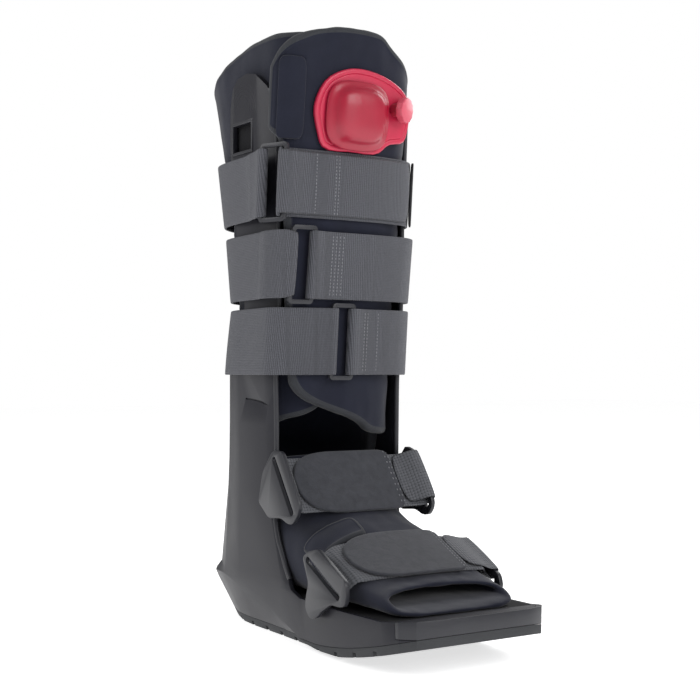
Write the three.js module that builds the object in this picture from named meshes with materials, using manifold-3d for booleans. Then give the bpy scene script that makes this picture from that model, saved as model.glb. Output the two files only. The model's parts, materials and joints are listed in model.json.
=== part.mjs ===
// Tall walking boot for a healing foot: a rigid rocker shell with two uprights, a padded liner,
// an air pump on the shin flap, three calf straps on rings and two foot straps on slotted ears.
// Millimetres. X runs across the boot (near side negative), toes point to -Y, +Z is up.
// The origin lies on the floor under the axis of the leg.
import * as THREE from 'three';
import { mergeVertices } from 'three/addons/utils/BufferGeometryUtils.js';
import Module from 'manifold-3d';

const wasm = await Module();
wasm.setup();

// Driving sizes
const SEAT = 0.3; // clearance between pieces that lie on each other

const sole = {
  toeReach: 208, // leg axis to the front of the toe
  heelReach: 86, // leg axis to the back of the heel
  halfWidth: 62, // at the ball of the foot
  rimHeight: 37, // top edge of the tray at the toe
  treadDepth: 6, // thickness of the outsole
  toeLift: 20,
  heelLift: 16,
  flatFront: 95, // the flat patch that stands on the floor
  flatBack: 30,
  creaseHeight: 32, // where the heel turns in to the floor
  toeShelf: 20, // solid shelf in front of the footbed
};
const tray = { floorHeight: 21, footbedThickness: 12.5 };
const tread = { pitch: 23, width: 4, depth: 3.2 };
const bumper = { length: 16, depth: 2.6, height: 12 };

const shellWall = 3.2;
const upright = {
  height: 407.6,
  halfWidth: 60,
  frontReach: 43.5,
  rearReach: 20.5,
  backHeight: 204, // top edge of the closed back
  scoopHeight: 84, // where the front edge leaves the foot
  scoopReach: 78,
};
const archWindow = { front: 14.6, back: 11.9, low: 352, high: 371.5 };
const seam = { height: 168, width: 1.2, depth: 1 };

const liner = {
  height: 434, // top rim above the floor
  halfWidth: 54,
  frontReach: 74.5, // outer face of the flap at the top
  backReach: 98, // outer face of the back at the top
  thickness: 6.5,
  ankleHeight: 129, // front of the joint between leg and foot
  heelJoint: 118, // back of the same joint
  rearDip: 34, // how far the rim drops at the back
};
const foot = { halfWidth: 52, thickness: 5 };
const closureStrip = { edge: 0.9, thickness: 2.4, low: 352, high: 409 };

const webbing = { thickness: 2, ring: 8.5, bar: 2.6, tail: 20 };
const calfStrap = { width: 48, far: 61.4, nearRadius: 10 };
const calfStraps = {
  top: { low: 298, near: 66.5, back: 61.4, farRadius: 33, ringAt: 69, overlapEnd: 50 },
  mid: { low: 241, near: 64, back: 60.6, farRadius: 27, ringAt: 45, overlapEnd: 110 },
  low: { low: 187, near: 63, back: 60.2, farRadius: 26, ringAt: 9, overlapEnd: 105 },
};
const ringReach = 3; // how far a ring stands past the webbing's edges
const hookTab = { length: 17, thickness: 1.8 };

const ear = { thickness: 3, slot: 4.8, farBar: 5 };
const ankle = {
  x: 56.8, // inner face of the ears
  y: -60.6, // middle of the strap, above the instep
  z: 111.4,
  lean: 55.5, // slope of the strap's width below level, in degrees
  width: 44,
  slotDrop: 3.5, // how far the slots lie below the middle of the strap
  bar: 10,
  reach: 50.5, // half the run of webbing that bears on the foot
  sag: { back: 0.3, front: 0.3 }, // how much lower that run lies at its ends
  stitchX: 37,
  tipX: 50,
};
const toe = {
  x: 62.9,
  y: -127.2,
  z: 67.9,
  lean: 28.1,
  width: 43,
  slotDrop: 16.3,
  bar: 11,
  reach: 53,
  sag: { back: 5, front: 1.6 },
  stitchX: 36,
  tipX: 49,
};
const felt = { thickness: 2.5, overhang: 3 };

const pump = {
  height: 373, // centre of the mounting plate above the floor
  plate: 3,
  bulbHeight: 13,
  x: 6.2, // middle of the plate beside the middle of the flap
  bulbWidth: 54,
  bulbTall: 50,
  bulbX: -14,
};
const valve = { x: 19, up: 7, turn: 28, radius: 9.2, neck: 5, body: 5, dial: 5.4, flutes: 12 };

// Materials
const paint = (color, roughness, metalness = 0) => (
  () => new THREE.MeshStandardMaterial({ color, roughness, metalness })
);
const charcoal = paint(0x3c3e43, 0.5);
const outsoleGrey = paint(0x34363a, 0.8);
const footbedBlack = paint(0x1b1c1e, 0.9);
const navyFoam = paint(0x23252f, 0.95);
const bindingGrey = paint(0x2c2d31, 0.9);
const webGrey = paint(0x3b3d41, 0.85);
const feltGrey = paint(0x4c4d51, 0.95);
const hookBlack = paint(0x1e1f20, 0.95);
const crimson = paint(0xc2294a, 0.45);

const boot = new THREE.Group();

function addMesh(name, geometry, material, parent = boot) {
  const mesh = new THREE.Mesh(geometry, material());
  mesh.name = name;
  parent.add(mesh);
  return mesh;
}

// Mesh helpers
const lerp = (a, b, t) => a + (b - a) * t;

/** Value of a column at a place along a table, straight between rows. */
function column(table, key, at, place) {
  const last = table.length - 1;
  if (at <= table[0][place]) return table[0][key];
  for (let i = 0; i < last; i += 1) {
    const a = table[i];
    const b = table[i + 1];
    if (at <= b[place]) return lerp(a[key], b[key], (at - a[place]) / (b[place] - a[place]));
  }
  return table[last][key];
}

/** A closed solid from points and triangles, turned so that its faces point out. */
function solid(points, faces) {
  let volume = 0;
  for (const [a, b, c] of faces) {
    volume += points[a].dot(new THREE.Vector3().crossVectors(points[b], points[c]));
  }
  const index = faces.flatMap(([a, b, c]) => (volume < 0 ? [a, c, b] : [a, b, c]));
  const geometry = new THREE.BufferGeometry();
  geometry.setAttribute('position', new THREE.Float32BufferAttribute(
    points.flatMap((p) => [p.x, p.y, p.z]),
    3,
  ));
  geometry.setIndex(index);
  return geometry;
}

function quad(faces, a, b, c, d) {
  faces.push([a, b, c], [a, c, d]);
}

/** Rings of points joined in order, with both ends closed on their middle. */
function loft(rings) {
  const count = rings[0].length;
  const points = rings.flat();
  const faces = [];
  for (let r = 0; r < rings.length - 1; r += 1) {
    for (let i = 0; i < count; i += 1) {
      const j = (i + 1) % count;
      quad(faces, r * count + i, r * count + j, (r + 1) * count + j, (r + 1) * count + i);
    }
  }
  const cap = (ring, offset, turn) => {
    const middle = ring.reduce((sum, p) => sum.add(p), new THREE.Vector3());
    points.push(middle.multiplyScalar(1 / count));
    const centre = points.length - 1;
    for (let i = 0; i < count; i += 1) {
      const pair = [offset + i, offset + ((i + 1) % count)];
      faces.push(turn ? [centre, pair[1], pair[0]] : [centre, pair[0], pair[1]]);
    }
  };
  cap(rings[0], 0, true);
  cap(rings[rings.length - 1], (rings.length - 1) * count, false);
  return solid(points, faces);
}

/** A wall between two grids of points. A closed wall runs right round; an open one has side edges. */
function wall(outer, inner, closed = false) {
  const rows = outer.length;
  const count = outer[0].length;
  const points = [...outer.flat(), ...inner.flat()];
  const at = (side, r, i) => side * rows * count + r * count + (i % count);
  const faces = [];
  const last = closed ? count : count - 1;
  for (let i = 0; i < last; i += 1) {
    for (let r = 0; r < rows - 1; r += 1) {
      quad(faces, at(0, r, i), at(0, r, i + 1), at(0, r + 1, i + 1), at(0, r + 1, i));
      quad(faces, at(1, r, i), at(1, r + 1, i), at(1, r + 1, i + 1), at(1, r, i + 1));
    }
    quad(faces, at(0, 0, i), at(1, 0, i), at(1, 0, i + 1), at(0, 0, i + 1));
    const top = rows - 1;
    quad(faces, at(0, top, i), at(0, top, i + 1), at(1, top, i + 1), at(1, top, i));
  }
  if (!closed) {
    for (let r = 0; r < rows - 1; r += 1) {
      const end = count - 1;
      quad(faces, at(0, r, 0), at(0, r + 1, 0), at(1, r + 1, 0), at(1, r, 0));
      quad(faces, at(0, r, end), at(1, r, end), at(1, r + 1, end), at(0, r + 1, end));
    }
  }
  return solid(points, faces);
}

function toManifold(geometry) {
  const bare = geometry.clone();
  bare.deleteAttribute('normal');
  bare.deleteAttribute('uv');
  const merged = mergeVertices(bare, 1e-4);
  return new wasm.Manifold(new wasm.Mesh({
    numProp: 3,
    vertProperties: new Float32Array(merged.attributes.position.array),
    triVerts: new Uint32Array(merged.index.array),
  }));
}

function fromManifold(body) {
  const mesh = body.getMesh();
  const geometry = new THREE.BufferGeometry();
  geometry.setAttribute('position', new THREE.BufferAttribute(mesh.vertProperties, 3));
  geometry.setIndex(new THREE.BufferAttribute(mesh.triVerts, 1));
  return geometry;
}

/** An outline in the side view (distance back, height), extruded across the boot. */
function sideProfile(outline, fromX, toX) {
  const shape = new THREE.Shape(outline.map(([y, z]) => new THREE.Vector2(y, z)));
  const geometry = new THREE.ExtrudeGeometry(shape, { depth: toX - fromX, bevelEnabled: false });
  // Shape x runs along Y, shape y along Z, and the depth along X.
  const turn = new THREE.Matrix4().makeBasis(
    new THREE.Vector3(0, 1, 0),
    new THREE.Vector3(0, 0, 1),
    new THREE.Vector3(1, 0, 0),
  );
  geometry.applyMatrix4(turn);
  geometry.translate(fromX, 0, 0);
  return geometry;
}

// Shell and sole

/** Height of the rocker's underside at a distance back from the leg axis. */
function rocker(y) {
  if (y < -sole.flatFront) {
    const share = (-sole.flatFront - y) / (sole.toeReach - sole.flatFront);
    return sole.toeLift * share ** 1.6;
  }
  if (y > sole.flatBack) {
    const share = (y - sole.flatBack) / (sole.heelReach - sole.flatBack);
    return sole.heelLift * share ** 2.2;
  }
  return 0;
}

/** The underside from heel to toe in the side view, raised by a lift. */
function rockerLine(lift) {
  const steps = 24;
  return Array.from({ length: steps + 1 }, (_, i) => {
    const y = lerp(sole.heelReach, -sole.toeReach, i / steps);
    return [y, rocker(y) + lift];
  });
}

// Stations round half of the plan, from the middle of the toe to the middle of the heel.
// along: share of toeReach (in front, negative) or heelReach (behind)
// rim, floor: share of sole.halfWidth at the rim and on the floor
// crease: share of creaseHeight; leg: share of the upright's half width above the tray
const STATIONS = [
  { along: -1.0, rim: 0.0, floor: 0.0, crease: 0.1, leg: 0.0 },
  { along: -1.0, rim: 0.3, floor: 0.28, crease: 0.1, leg: 0.3 },
  { along: -0.998, rim: 0.6, floor: 0.52, crease: 0.1, leg: 0.6 },
  { along: -0.976, rim: 0.82, floor: 0.7, crease: 0.1, leg: 0.82 },
  { along: -0.936, rim: 0.945, floor: 0.8, crease: 0.1, leg: 0.95 },
  { along: -0.87, rim: 0.99, floor: 0.84, crease: 0.1, leg: 1.0 },
  { along: -0.67, rim: 1.0, floor: 0.84, crease: 0.1, leg: 1.02 },
  { along: -0.5, rim: 0.975, floor: 0.82, crease: 0.08, leg: 1.0 },
  { along: -0.4, rim: 0.94, floor: 0.79, crease: 0.12, leg: 0.98 },
  { along: -0.24, rim: 0.918, floor: 0.75, crease: 0.45, leg: 1.0 },
  { along: -0.15, rim: 0.912, floor: 0.73, crease: 0.66, leg: 1.0 },
  { along: 0.12, rim: 0.91, floor: 0.7, crease: 0.92, leg: 1.0 },
  { along: 0.42, rim: 0.895, floor: 0.66, crease: 1.0, leg: 0.945 },
  { along: 0.66, rim: 0.83, floor: 0.58, crease: 1.0, leg: 0.77 },
  { along: 0.82, rim: 0.7, floor: 0.47, crease: 0.95, leg: 0.6 },
  { along: 0.92, rim: 0.51, floor: 0.34, crease: 0.9, leg: 0.43 },
  { along: 0.98, rim: 0.27, floor: 0.18, crease: 0.88, leg: 0.23 },
  { along: 1.0, rim: 0.0, floor: 0.0, crease: 0.88, leg: 0.0 },
];
const LIP = 9; // station at the front edge of the uprights
const RIDGE = 10; // station where the upright's side turns into its front lip

// Levels of the shell above the rim of the tray.
// up: share of upright.height; half: share of upright.halfWidth; back: share of heelReach
// ridge: share of upright.frontReach; lip: how far the front edge turns in, in share of halfWidth
// heel: how far the plan behind follows the rim below it instead of the leg above
const LEVELS = [
  { up: 0.108, half: 0.943, back: 0.985, ridge: 0.72, lip: 0.0, heel: 0.35 },
  { up: 0.25, half: 0.928, back: 0.91, ridge: 0.66, lip: 0.07, heel: 0.06 },
  { up: 0.37, half: 0.94, back: 0.835, ridge: 0.635, lip: 0.08, heel: 0 },
  { up: 0.5, half: 0.967, back: 0.745, ridge: 0.61, lip: 0.1, heel: 0 },
  { up: 0.74, half: 1.0, back: 0.74, ridge: 0.58, lip: 0.1, heel: 0 },
  { up: 1.01, half: 1.033, back: 0.74, ridge: 0.58, lip: 0.05, heel: 0 },
];

const alongToY = (share) => share * (share < 0 ? sole.toeReach : sole.heelReach);

/** The shell's outer rows for one station: half width, distance back and height of each. */
function stationRows(index) {
  const s = STATIONS[index];
  const y = alongToY(s.along);
  const behind = s.along > 0.12;
  const creaseHeight = s.crease * sole.creaseHeight;
  const rimRow = { x: s.rim * sole.halfWidth, y, z: sole.rimHeight };
  const spread = lerp(s.floor, s.rim, 0.86);
  const rows = [
    { x: s.floor * sole.halfWidth, y: behind ? lerp(y, 0, 0.17) : y, z: 0 },
    { x: spread * sole.halfWidth, y: behind ? y * 0.998 : y, z: creaseHeight },
    rimRow,
  ];
  for (const level of LEVELS) {
    const share = behind ? lerp(s.leg, s.rim * 1.12, level.heel) : s.leg;
    const half = share * level.half * upright.halfWidth;
    const row = { x: half, y, z: level.up * upright.height };
    if (behind) row.y = lerp(0.12, level.back, (s.along - 0.12) / 0.88) * sole.heelReach;
    if (index === RIDGE && level.lip > 0) row.y = -level.ridge * upright.frontReach;
    if (index === LIP && level.lip > 0) row.x = half - level.lip * upright.halfWidth;
    rows.push(row);
  }
  return rows;
}

/** Point of the shell's outer face at a station and height. */
function shellPoint(index, z) {
  const rows = stationRows(index);
  return { x: column(rows, 'x', z, 'z'), y: column(rows, 'y', z, 'z') };
}

/** A full plan ring from half a ring of points, the far side mirrored. */
function mirrorRing(half) {
  const far = half.slice(1, -1).reverse().map((p) => new THREE.Vector3(p.x, p.y, p.z));
  const near = half.map((p) => new THREE.Vector3(-p.x, p.y, p.z));
  return [...near, ...far];
}

/** The shell's outer surface as a solid block. */
function outerBlock() {
  const stations = STATIONS.map((_, i) => stationRows(i));
  return loft(stations[0].map((_, row) => mirrorRing(stations.map((rows) => rows[row]))));
}

/** The same surface brought in by a margin, between two heights. */
function insetBlock(margin, toeMargin, heights) {
  return loft(heights.map((z) => mirrorRing(STATIONS.map((s, i) => {
    const p = shellPoint(i, z);
    const inset = s.along < -0.9 ? toeMargin : margin;
    const y = s.along < 0 ? Math.max(p.y, -sole.toeReach + inset) : p.y - margin * s.along;
    return { x: Math.max(p.x - margin, 0), y, z };
  }))));
}

/** Side view of the shell: rocker, rim, scooped front edge, arched uprights and closed back. */
function shellOutline() {
  const lift = sole.treadDepth + SEAT;
  const past = 4;
  const outline = [
    [sole.heelReach + past, sole.heelLift + lift],
    ...rockerLine(lift),
    [-sole.toeReach - past, sole.toeLift + lift],
  ];
  const rim = [
    { along: 1.02, up: 1.0 },
    { along: 0.95, up: 0.965 },
    { along: 0.865, up: 0.91 },
    { along: 0.42, up: 0.915 },
  ];
  for (const { along, up } of rim) outline.push([-along * sole.toeReach, up * sole.rimHeight]);
  const scoop = [
    { along: 1.0, up: 0.4 },
    { along: 0.84, up: 0.45 },
    { along: 0.7, up: 0.6 },
    { along: 0.55, up: 0.83 },
    { along: 0.49, up: 1.0 },
  ];
  for (const { along, up } of scoop) {
    outline.push([-along * upright.scoopReach, up * upright.scoopHeight]);
  }
  const front = [
    { along: 0.865, up: 0.27 },
    { along: 0.875, up: 0.46 },
    { along: 0.99, up: 0.58 },
    { along: 1.0, up: 0.936 },
    { along: 0.82, up: 0.967 },
    { along: 0.52, up: 0.993 },
    { along: 0.22, up: 1.0 },
  ];
  for (const { along, up } of front) {
    outline.push([-along * upright.frontReach, up * upright.height]);
  }
  const rear = [
    { along: 0.2, up: 0.996 },
    { along: 0.62, up: 0.979 },
    { along: 0.9, up: 0.948 },
    { along: 1.0, up: 0.873 },
    { along: 0.85, up: 0.81 },
    { along: 0.5, up: 0.73 },
    { along: -0.05, up: 0.585 },
    { along: 0.1, up: 0.54 },
    { along: 0.7, up: 0.515 },
  ];
  for (const { along, up } of rear) {
    outline.push([along * upright.rearReach, up * upright.height]);
  }
  outline.push([0.4 * sole.heelReach, upright.backHeight + 1]);
  outline.push([0.7 * sole.heelReach, upright.backHeight]);
  outline.push([sole.heelReach + past, upright.backHeight]);
  return outline;
}

/** A curved slot, as the seam where the two halves of the shell meet above the heel. */
function seamCutter(side) {
  const path = [
    { along: 0.0, up: 1.6 },
    { along: 0.24, up: 1.2 },
    { along: 0.49, up: 0.0 },
    { along: 0.7, up: -2.2 },
    { along: 1.15, up: -3.2 },
  ];
  const place = (row, shift) => [-row.along * upright.frontReach, seam.height + row.up + shift];
  const outline = [
    ...path.map((row) => place(row, -seam.width / 2)),
    ...path.slice().reverse().map((row) => place(row, seam.width / 2)),
  ];
  const skin = shellPoint(RIDGE + 1, seam.height).x - seam.depth;
  return side < 0 ? sideProfile(outline, -skin - 9, -skin) : sideProfile(outline, skin, skin + 9);
}

function windowCutter(side) {
  const w = archWindow;
  const reach = upright.halfWidth + 6;
  const outline = [[-w.front, w.low], [w.back, w.low], [w.back, w.high], [-w.front, w.high]];
  const inner = upright.halfWidth * 0.8;
  return side < 0 ? sideProfile(outline, -reach, -inner) : sideProfile(outline, inner, reach);
}

function bumperRegion(grow) {
  const back = -sole.toeReach + bumper.length + grow;
  const low = sole.rimHeight - bumper.height - grow;
  const front = -sole.toeReach - 6;
  const high = sole.rimHeight + 6;
  const reach = sole.halfWidth + 6;
  return sideProfile([[front, low], [back, low], [back, high], [front, high]], -reach, reach);
}

function addShell() {
  const block = toManifold(outerBlock());
  const reach = sole.halfWidth + 10;
  const cavity = insetBlock(shellWall, sole.toeShelf, [
    tray.floorHeight,
    tray.floorHeight + tray.footbedThickness,
    sole.rimHeight,
    ...LEVELS.map((level) => level.up * upright.height),
    upright.height * 1.03,
  ]);
  let body = block.intersect(toManifold(sideProfile(shellOutline(), -reach, reach)));
  body = body.subtract(toManifold(cavity));
  for (const side of [-1, 1]) {
    body = body.subtract(toManifold(windowCutter(side)));
    body = body.subtract(toManifold(seamCutter(side)));
  }
  const rimBand = toManifold(bumperRegion(SEAT));
  const core = toManifold(insetBlock(bumper.depth + SEAT, bumper.depth + SEAT, [
    -5,
    sole.rimHeight * 0.6,
    sole.rimHeight + 8,
  ]));
  body = body.subtract(rimBand.subtract(core));
  addMesh('shell', fromManifold(body), charcoal);

  let cap = block.intersect(toManifold(bumperRegion(0)));
  cap = cap.intersect(toManifold(sideProfile(shellOutline(), -reach, reach)));
  const pad = toManifold(insetBlock(bumper.depth, bumper.depth, [
    -5,
    sole.rimHeight * 0.6,
    sole.rimHeight + 8,
  ]));
  addMesh('toe_bumper', fromManifold(cap.subtract(pad)), charcoal);
}

function addOutsole() {
  const outline = [...rockerLine(0), ...rockerLine(sole.treadDepth).reverse()];
  const reach = sole.halfWidth + 10;
  let body = toManifold(outerBlock());
  body = body.intersect(toManifold(sideProfile(outline, -reach, reach)));
  const first = -Math.floor((sole.toeReach / tread.pitch) - 0.9);
  const last = Math.floor((sole.heelReach / tread.pitch) - 0.8);
  for (let k = first; k <= last; k += 1) {
    const y = (k + 0.5) * tread.pitch;
    const low = rocker(y) - 8;
    const high = rocker(y) + tread.depth;
    const half = tread.width / 2;
    const groove = [[y - half, low], [y + half, low], [y + half, high], [y - half, high]];
    body = body.subtract(toManifold(sideProfile(groove, -reach, reach)));
  }
  addMesh('outsole', fromManifold(body), outsoleGrey);
}

function addFootbed() {
  const low = tray.floorHeight + SEAT;
  const high = low + tray.footbedThickness;
  const geometry = insetBlock(shellWall + SEAT, sole.toeShelf + SEAT, [low, high]);
  addMesh('footbed', geometry, footbedBlack);
}

function addWindowPatches() {
  const lap = 3;
  const w = archWindow;
  const middle = (w.low + w.high) / 2;
  const inner = shellPoint(RIDGE + 1, middle).x - shellWall - 4 * SEAT;
  const drop = shellPoint(RIDGE + 1, w.high + lap).x - shellPoint(RIDGE + 1, w.low - lap).x;
  const depth = 1.6;
  const outline = [
    [-w.front - lap, w.low - lap],
    [w.back + lap, w.low - lap],
    [w.back + lap, w.high + lap],
    [-w.front - lap, w.high + lap],
  ];
  const outer = inner - drop / 2;
  addMesh('window_patch_near', sideProfile(outline, -outer, -outer + depth), hookBlack);
  addMesh('window_patch_far', sideProfile(outline, outer - depth, outer), hookBlack);
}

// Leg liner and shin flap

// Outer face of the leg, up the leg.
// up: share of liner.height; half, front, back: shares of halfWidth, frontReach, backReach
const LEG = [
  { up: 0.27, half: 0.965, front: 0.604, back: 0.633 },
  { up: 0.346, half: 0.975, front: 0.625, back: 0.602 },
  { up: 0.422, half: 0.985, front: 0.66, back: 0.587 },
  { up: 0.553, half: 0.995, front: 0.725, back: 0.592 },
  { up: 0.691, half: 1.0, front: 0.83, back: 0.675 },
  { up: 0.806, half: 1.005, front: 0.885, back: 0.775 },
  { up: 0.843, half: 1.01, front: 0.925, back: 0.825 },
  { up: 0.922, half: 1.02, front: 0.98, back: 0.944 },
  { up: 1.0, half: 1.025, front: 1.0, back: 1.0 },
];
const LEG_CORNERS = { front: 30, crown: 3 };
const BACK_ROUND = { start: 59, gain: 1.25 }; // the round of the back starts later as it deepens

function legSize(z) {
  const up = z / liner.height;
  return {
    half: column(LEG, 'half', up, 'up') * liner.halfWidth,
    front: -column(LEG, 'front', up, 'up') * liner.frontReach,
    back: column(LEG, 'back', up, 'up') * liner.backReach,
  };
}

/**
 * Plan of the leg as one loop from the front centre over the near side, the back and the far side.
 * Each side has its width in front and at the back, and the radius of its front corner.
 * Each part keeps its number of points at every height, so that rows join up.
 */
function legPlan({ near, far, front, back, crown }) {
  const roundStart = Math.max((back - BACK_ROUND.start) * BACK_ROUND.gain, 0);
  const half = (sign, { width, backWidth, radius }) => {
    const points = [];
    const flat = width - radius;
    for (const share of [0, 0.25, 0.5, 0.75]) {
      points.push([sign * flat * share, front + crown * share * share]);
    }
    for (let i = 0; i <= 4; i += 1) {
      const a = (i / 4) * (Math.PI / 2);
      points.push([
        sign * (flat + radius * Math.sin(a)),
        front + crown + radius * (1 - Math.cos(a)),
      ]);
    }
    const sideFront = front + crown + radius;
    for (const share of [0.33, 0.67]) {
      points.push([sign * lerp(width, backWidth, share), lerp(sideFront, roundStart, share)]);
    }
    for (let i = 0; i <= 5; i += 1) {
      const a = (i / 5.5) * (Math.PI / 2);
      points.push([
        sign * backWidth * Math.cos(a),
        roundStart + (back - roundStart) * Math.sin(a),
      ]);
    }
    return points;
  };
  const nearHalf = half(-1, near);
  const farHalf = half(1, far).slice(1).reverse();
  return [...nearHalf, [0, back], ...farHalf].map(([x, y]) => new THREE.Vector2(x, y));
}
const PLAN = { cornerEnd: 8, count: 34 };

/** A plan at a height, grown outward by a margin. */
function linerPlan(z, grow, frontShift = 0) {
  const size = legSize(z);
  const width = size.half + grow;
  const side = { width, backWidth: width, radius: LEG_CORNERS.front + grow };
  return legPlan({
    near: side,
    far: side,
    front: size.front + frontShift - grow,
    back: size.back + grow,
    crown: LEG_CORNERS.crown,
  });
}

/** Rim height of the liner at a distance back from the leg axis. */
function rimHeightAt(y) {
  const back = liner.backReach;
  const share = THREE.MathUtils.clamp((y - 0.02 * back) / (0.98 * back), 0, 1);
  return liner.height - 3 - liner.rearDip * share ** 1.15;
}

/** Height of the joint between the leg and the foot of the liner. */
function jointHeight(y) {
  const joint = FOOT[FOOT.length - 1];
  const front = alongToY(joint.topY);
  const share = (y - front) / (alongToY(joint.botY) - front);
  return lerp(liner.ankleHeight, liner.heelJoint, Math.min(Math.max(share, 0), 1));
}

/** Distance back of the flap's far edge, where it meets the leg liner round the far corner. */
function flapEnd(z) {
  return legSize(z).front + LEG_CORNERS.crown + LEG_CORNERS.front;
}

function addLinerLeg() {
  // Columns run from the near front edge, round the back, to the far side in front.
  const first = 2;
  const last = PLAN.count - PLAN.cornerEnd;
  const rows = 9;
  const under = liner.thickness + SEAT + 0.2;
  const panelHeights = [0.389, 0.38, 0.37, 0.362, 0.357, 0.345];
  const grids = [0, -liner.thickness].map((grow) => {
    const grid = [];
    for (let r = 0; r <= rows; r += 1) {
      const line = [];
      for (let c = first; c <= last; c += 1) {
        const joint = linerPlan(liner.ankleHeight, grow, under)[c];
        const panel = panelHeights[c - first];
        const low = panel ? panel * liner.height : jointHeight(joint.y) + 3 * SEAT;
        const rim = linerPlan(liner.height * 0.96, 0, under)[c];
        const z = lerp(low, rimHeightAt(rim.y), r / rows);
        const p = linerPlan(z, grow, under)[c];
        const y = c === last ? flapEnd(z) + 3 * SEAT : p.y;
        line.push(new THREE.Vector3(p.x, y, z));
      }
      grid.push(line);
    }
    return grid;
  });
  addMesh('liner_leg', wall(grids[0], grids[1]), navyFoam);
}

// Columns of the shin flap, from its loose near edge round to the far side.
// x: share of the leg's half width; turn: degrees round the far corner
// low, high: shares of liner.height; thick: share of liner.thickness
const FLAP = [
  { turn: -90, low: 0.83, high: 0.93, thick: 0.6 },
  { turn: -60, low: 0.82, high: 0.95, thick: 0.7 },
  { turn: -30, low: 0.815, high: 0.965, thick: 0.8 },
  { turn: 0, near: true, low: 0.67, high: 0.974, thick: 0.9 },
  { x: -0.93, low: 0.44, high: 0.98, thick: 0.9 },
  { x: -0.8, low: 0.405, high: 0.988, thick: 1 },
  { x: -0.6, low: 0.389, high: 0.995, thick: 1 },
  { x: -0.3, low: 0.375, high: 1.0, thick: 1 },
  { x: 0.0, low: 0.364, high: 1.0, thick: 1 },
  { x: 0.2, low: 0.355, high: 0.998, thick: 1 },
  { x: 0.33, low: 0.346, high: 0.994, thick: 1 },
  { turn: 0, low: 0.336, high: 0.976, thick: 1 },
  { turn: 30, low: 0.332, high: 0.957, thick: 1 },
  { turn: 60, low: 0.33, high: 0.94, thick: 1 },
  { turn: 90, low: 0.328, high: 0.93, thick: 1 },
];
const NEAR_EDGE = { lap: 1.03, radius: 13 }; // where the loose edge turns back, in half widths

/** A point of the flap's outer face in plan, grown outward. */
function flapPoint(row, z, grow) {
  const size = legSize(z);
  const { crown, front } = LEG_CORNERS;
  const isNear = row.near || row.turn < 0 || row.x < 0;
  const flat = isNear ? size.half * NEAR_EDGE.lap : size.half - front;
  if (row.turn !== undefined) {
    const turn = THREE.MathUtils.degToRad(row.turn);
    const corner = isNear ? NEAR_EDGE.radius : front;
    return new THREE.Vector3(
      (isNear ? -flat : flat) + (corner + grow) * Math.sin(turn),
      size.front + crown + corner - (corner + grow) * Math.cos(turn),
      z,
    );
  }
  const x = row.x * size.half;
  return new THREE.Vector3(x, size.front - grow + crown * (x / flat) ** 2, z);
}

function addFrontFlap() {
  const rows = 12;
  const grids = [0, 1].map((inside) => {
    const grid = [];
    for (let r = 0; r <= rows; r += 1) {
      grid.push(FLAP.map((row) => {
        const z = lerp(row.low, row.high, r / rows) * liner.height;
        return flapPoint(row, z, -inside * row.thick * liner.thickness);
      }));
    }
    return grid;
  });
  addMesh('liner_front_flap', wall(grids[0], grids[1]), navyFoam);
}

function addClosureStrip() {
  const { thickness, low, high } = closureStrip;
  const columns = [{ turn: -50 }, { turn: -25 }, { turn: 0, near: true }, { x: -closureStrip.edge }];
  const rows = 5;
  const face = (grow) => Array.from({ length: rows + 1 }, (_, r) => (
    columns.map((place) => flapPoint(place, lerp(low, high, r / rows), grow))
  ));
  const lift = SEAT + 0.5;
  addMesh('closure_strip', wall(face(lift + thickness), face(lift)), bindingGrey);
}

// Foot liner

// Sections from the toe opening round the heel to the ankle joint.
// topY, botY: shares of toeReach in front of the leg axis, of heelReach behind it
// topZ: share of liner.ankleHeight; botZ: share of the way from the foot's floor to heelJoint
// half: share of foot.halfWidth; square: 1 for a flat sole, 0 for a round heel
const FOOT = [
  { topY: -0.74, topZ: 0.391, botY: -0.885, botZ: 0, half: 0.96, square: 0.9 },
  { topY: -0.701, topZ: 0.403, botY: -0.8, botZ: 0, half: 0.99, square: 1 },
  { topY: -0.507, topZ: 0.57, botY: -0.567, botZ: 0, half: 1.0, square: 1 },
  { topY: -0.42, topZ: 0.635, botY: -0.385, botZ: 0, half: 1.0, square: 1 },
  { topY: -0.335, topZ: 0.69, botY: -0.19, botZ: 0, half: 0.99, square: 0.9 },
  { topY: -0.298, topZ: 0.776, botY: 0.0, botZ: 0, half: 0.98, square: 0.7 },
  { topY: -0.267, topZ: 0.85, botY: 0.44, botZ: 0.0, half: 0.97, square: 0.3 },
  { topY: -0.238, topZ: 0.915, botY: 0.76, botZ: 0.14, half: 0.96, square: 0.0 },
  { topY: -0.216, topZ: 0.966, botY: 0.84, botZ: 0.5, half: 0.97, square: 0.0 },
  { topY: -0.203, topZ: 1.0, botY: 0.721, botZ: 1.0, half: 0.99, square: 0.0 },
];
const footFloor = tray.floorHeight + 2 * SEAT + tray.footbedThickness;

/** A section of the foot between two rows of the table. */
function footSection(place) {
  const i = Math.min(Math.floor(place), FOOT.length - 2);
  const t = place - i;
  const mix = (key) => lerp(FOOT[i][key], FOOT[i + 1][key], t);
  const mixY = (key) => lerp(alongToY(FOOT[i][key]), alongToY(FOOT[i + 1][key]), t);
  return {
    top: new THREE.Vector3(0, mixY('topY'), mix('topZ') * liner.ankleHeight),
    bottom: new THREE.Vector3(0, mixY('botY'), lerp(footFloor, liner.heelJoint, mix('botZ'))),
    half: mix('half') * foot.halfWidth,
    square: mix('square'),
  };
}

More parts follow.
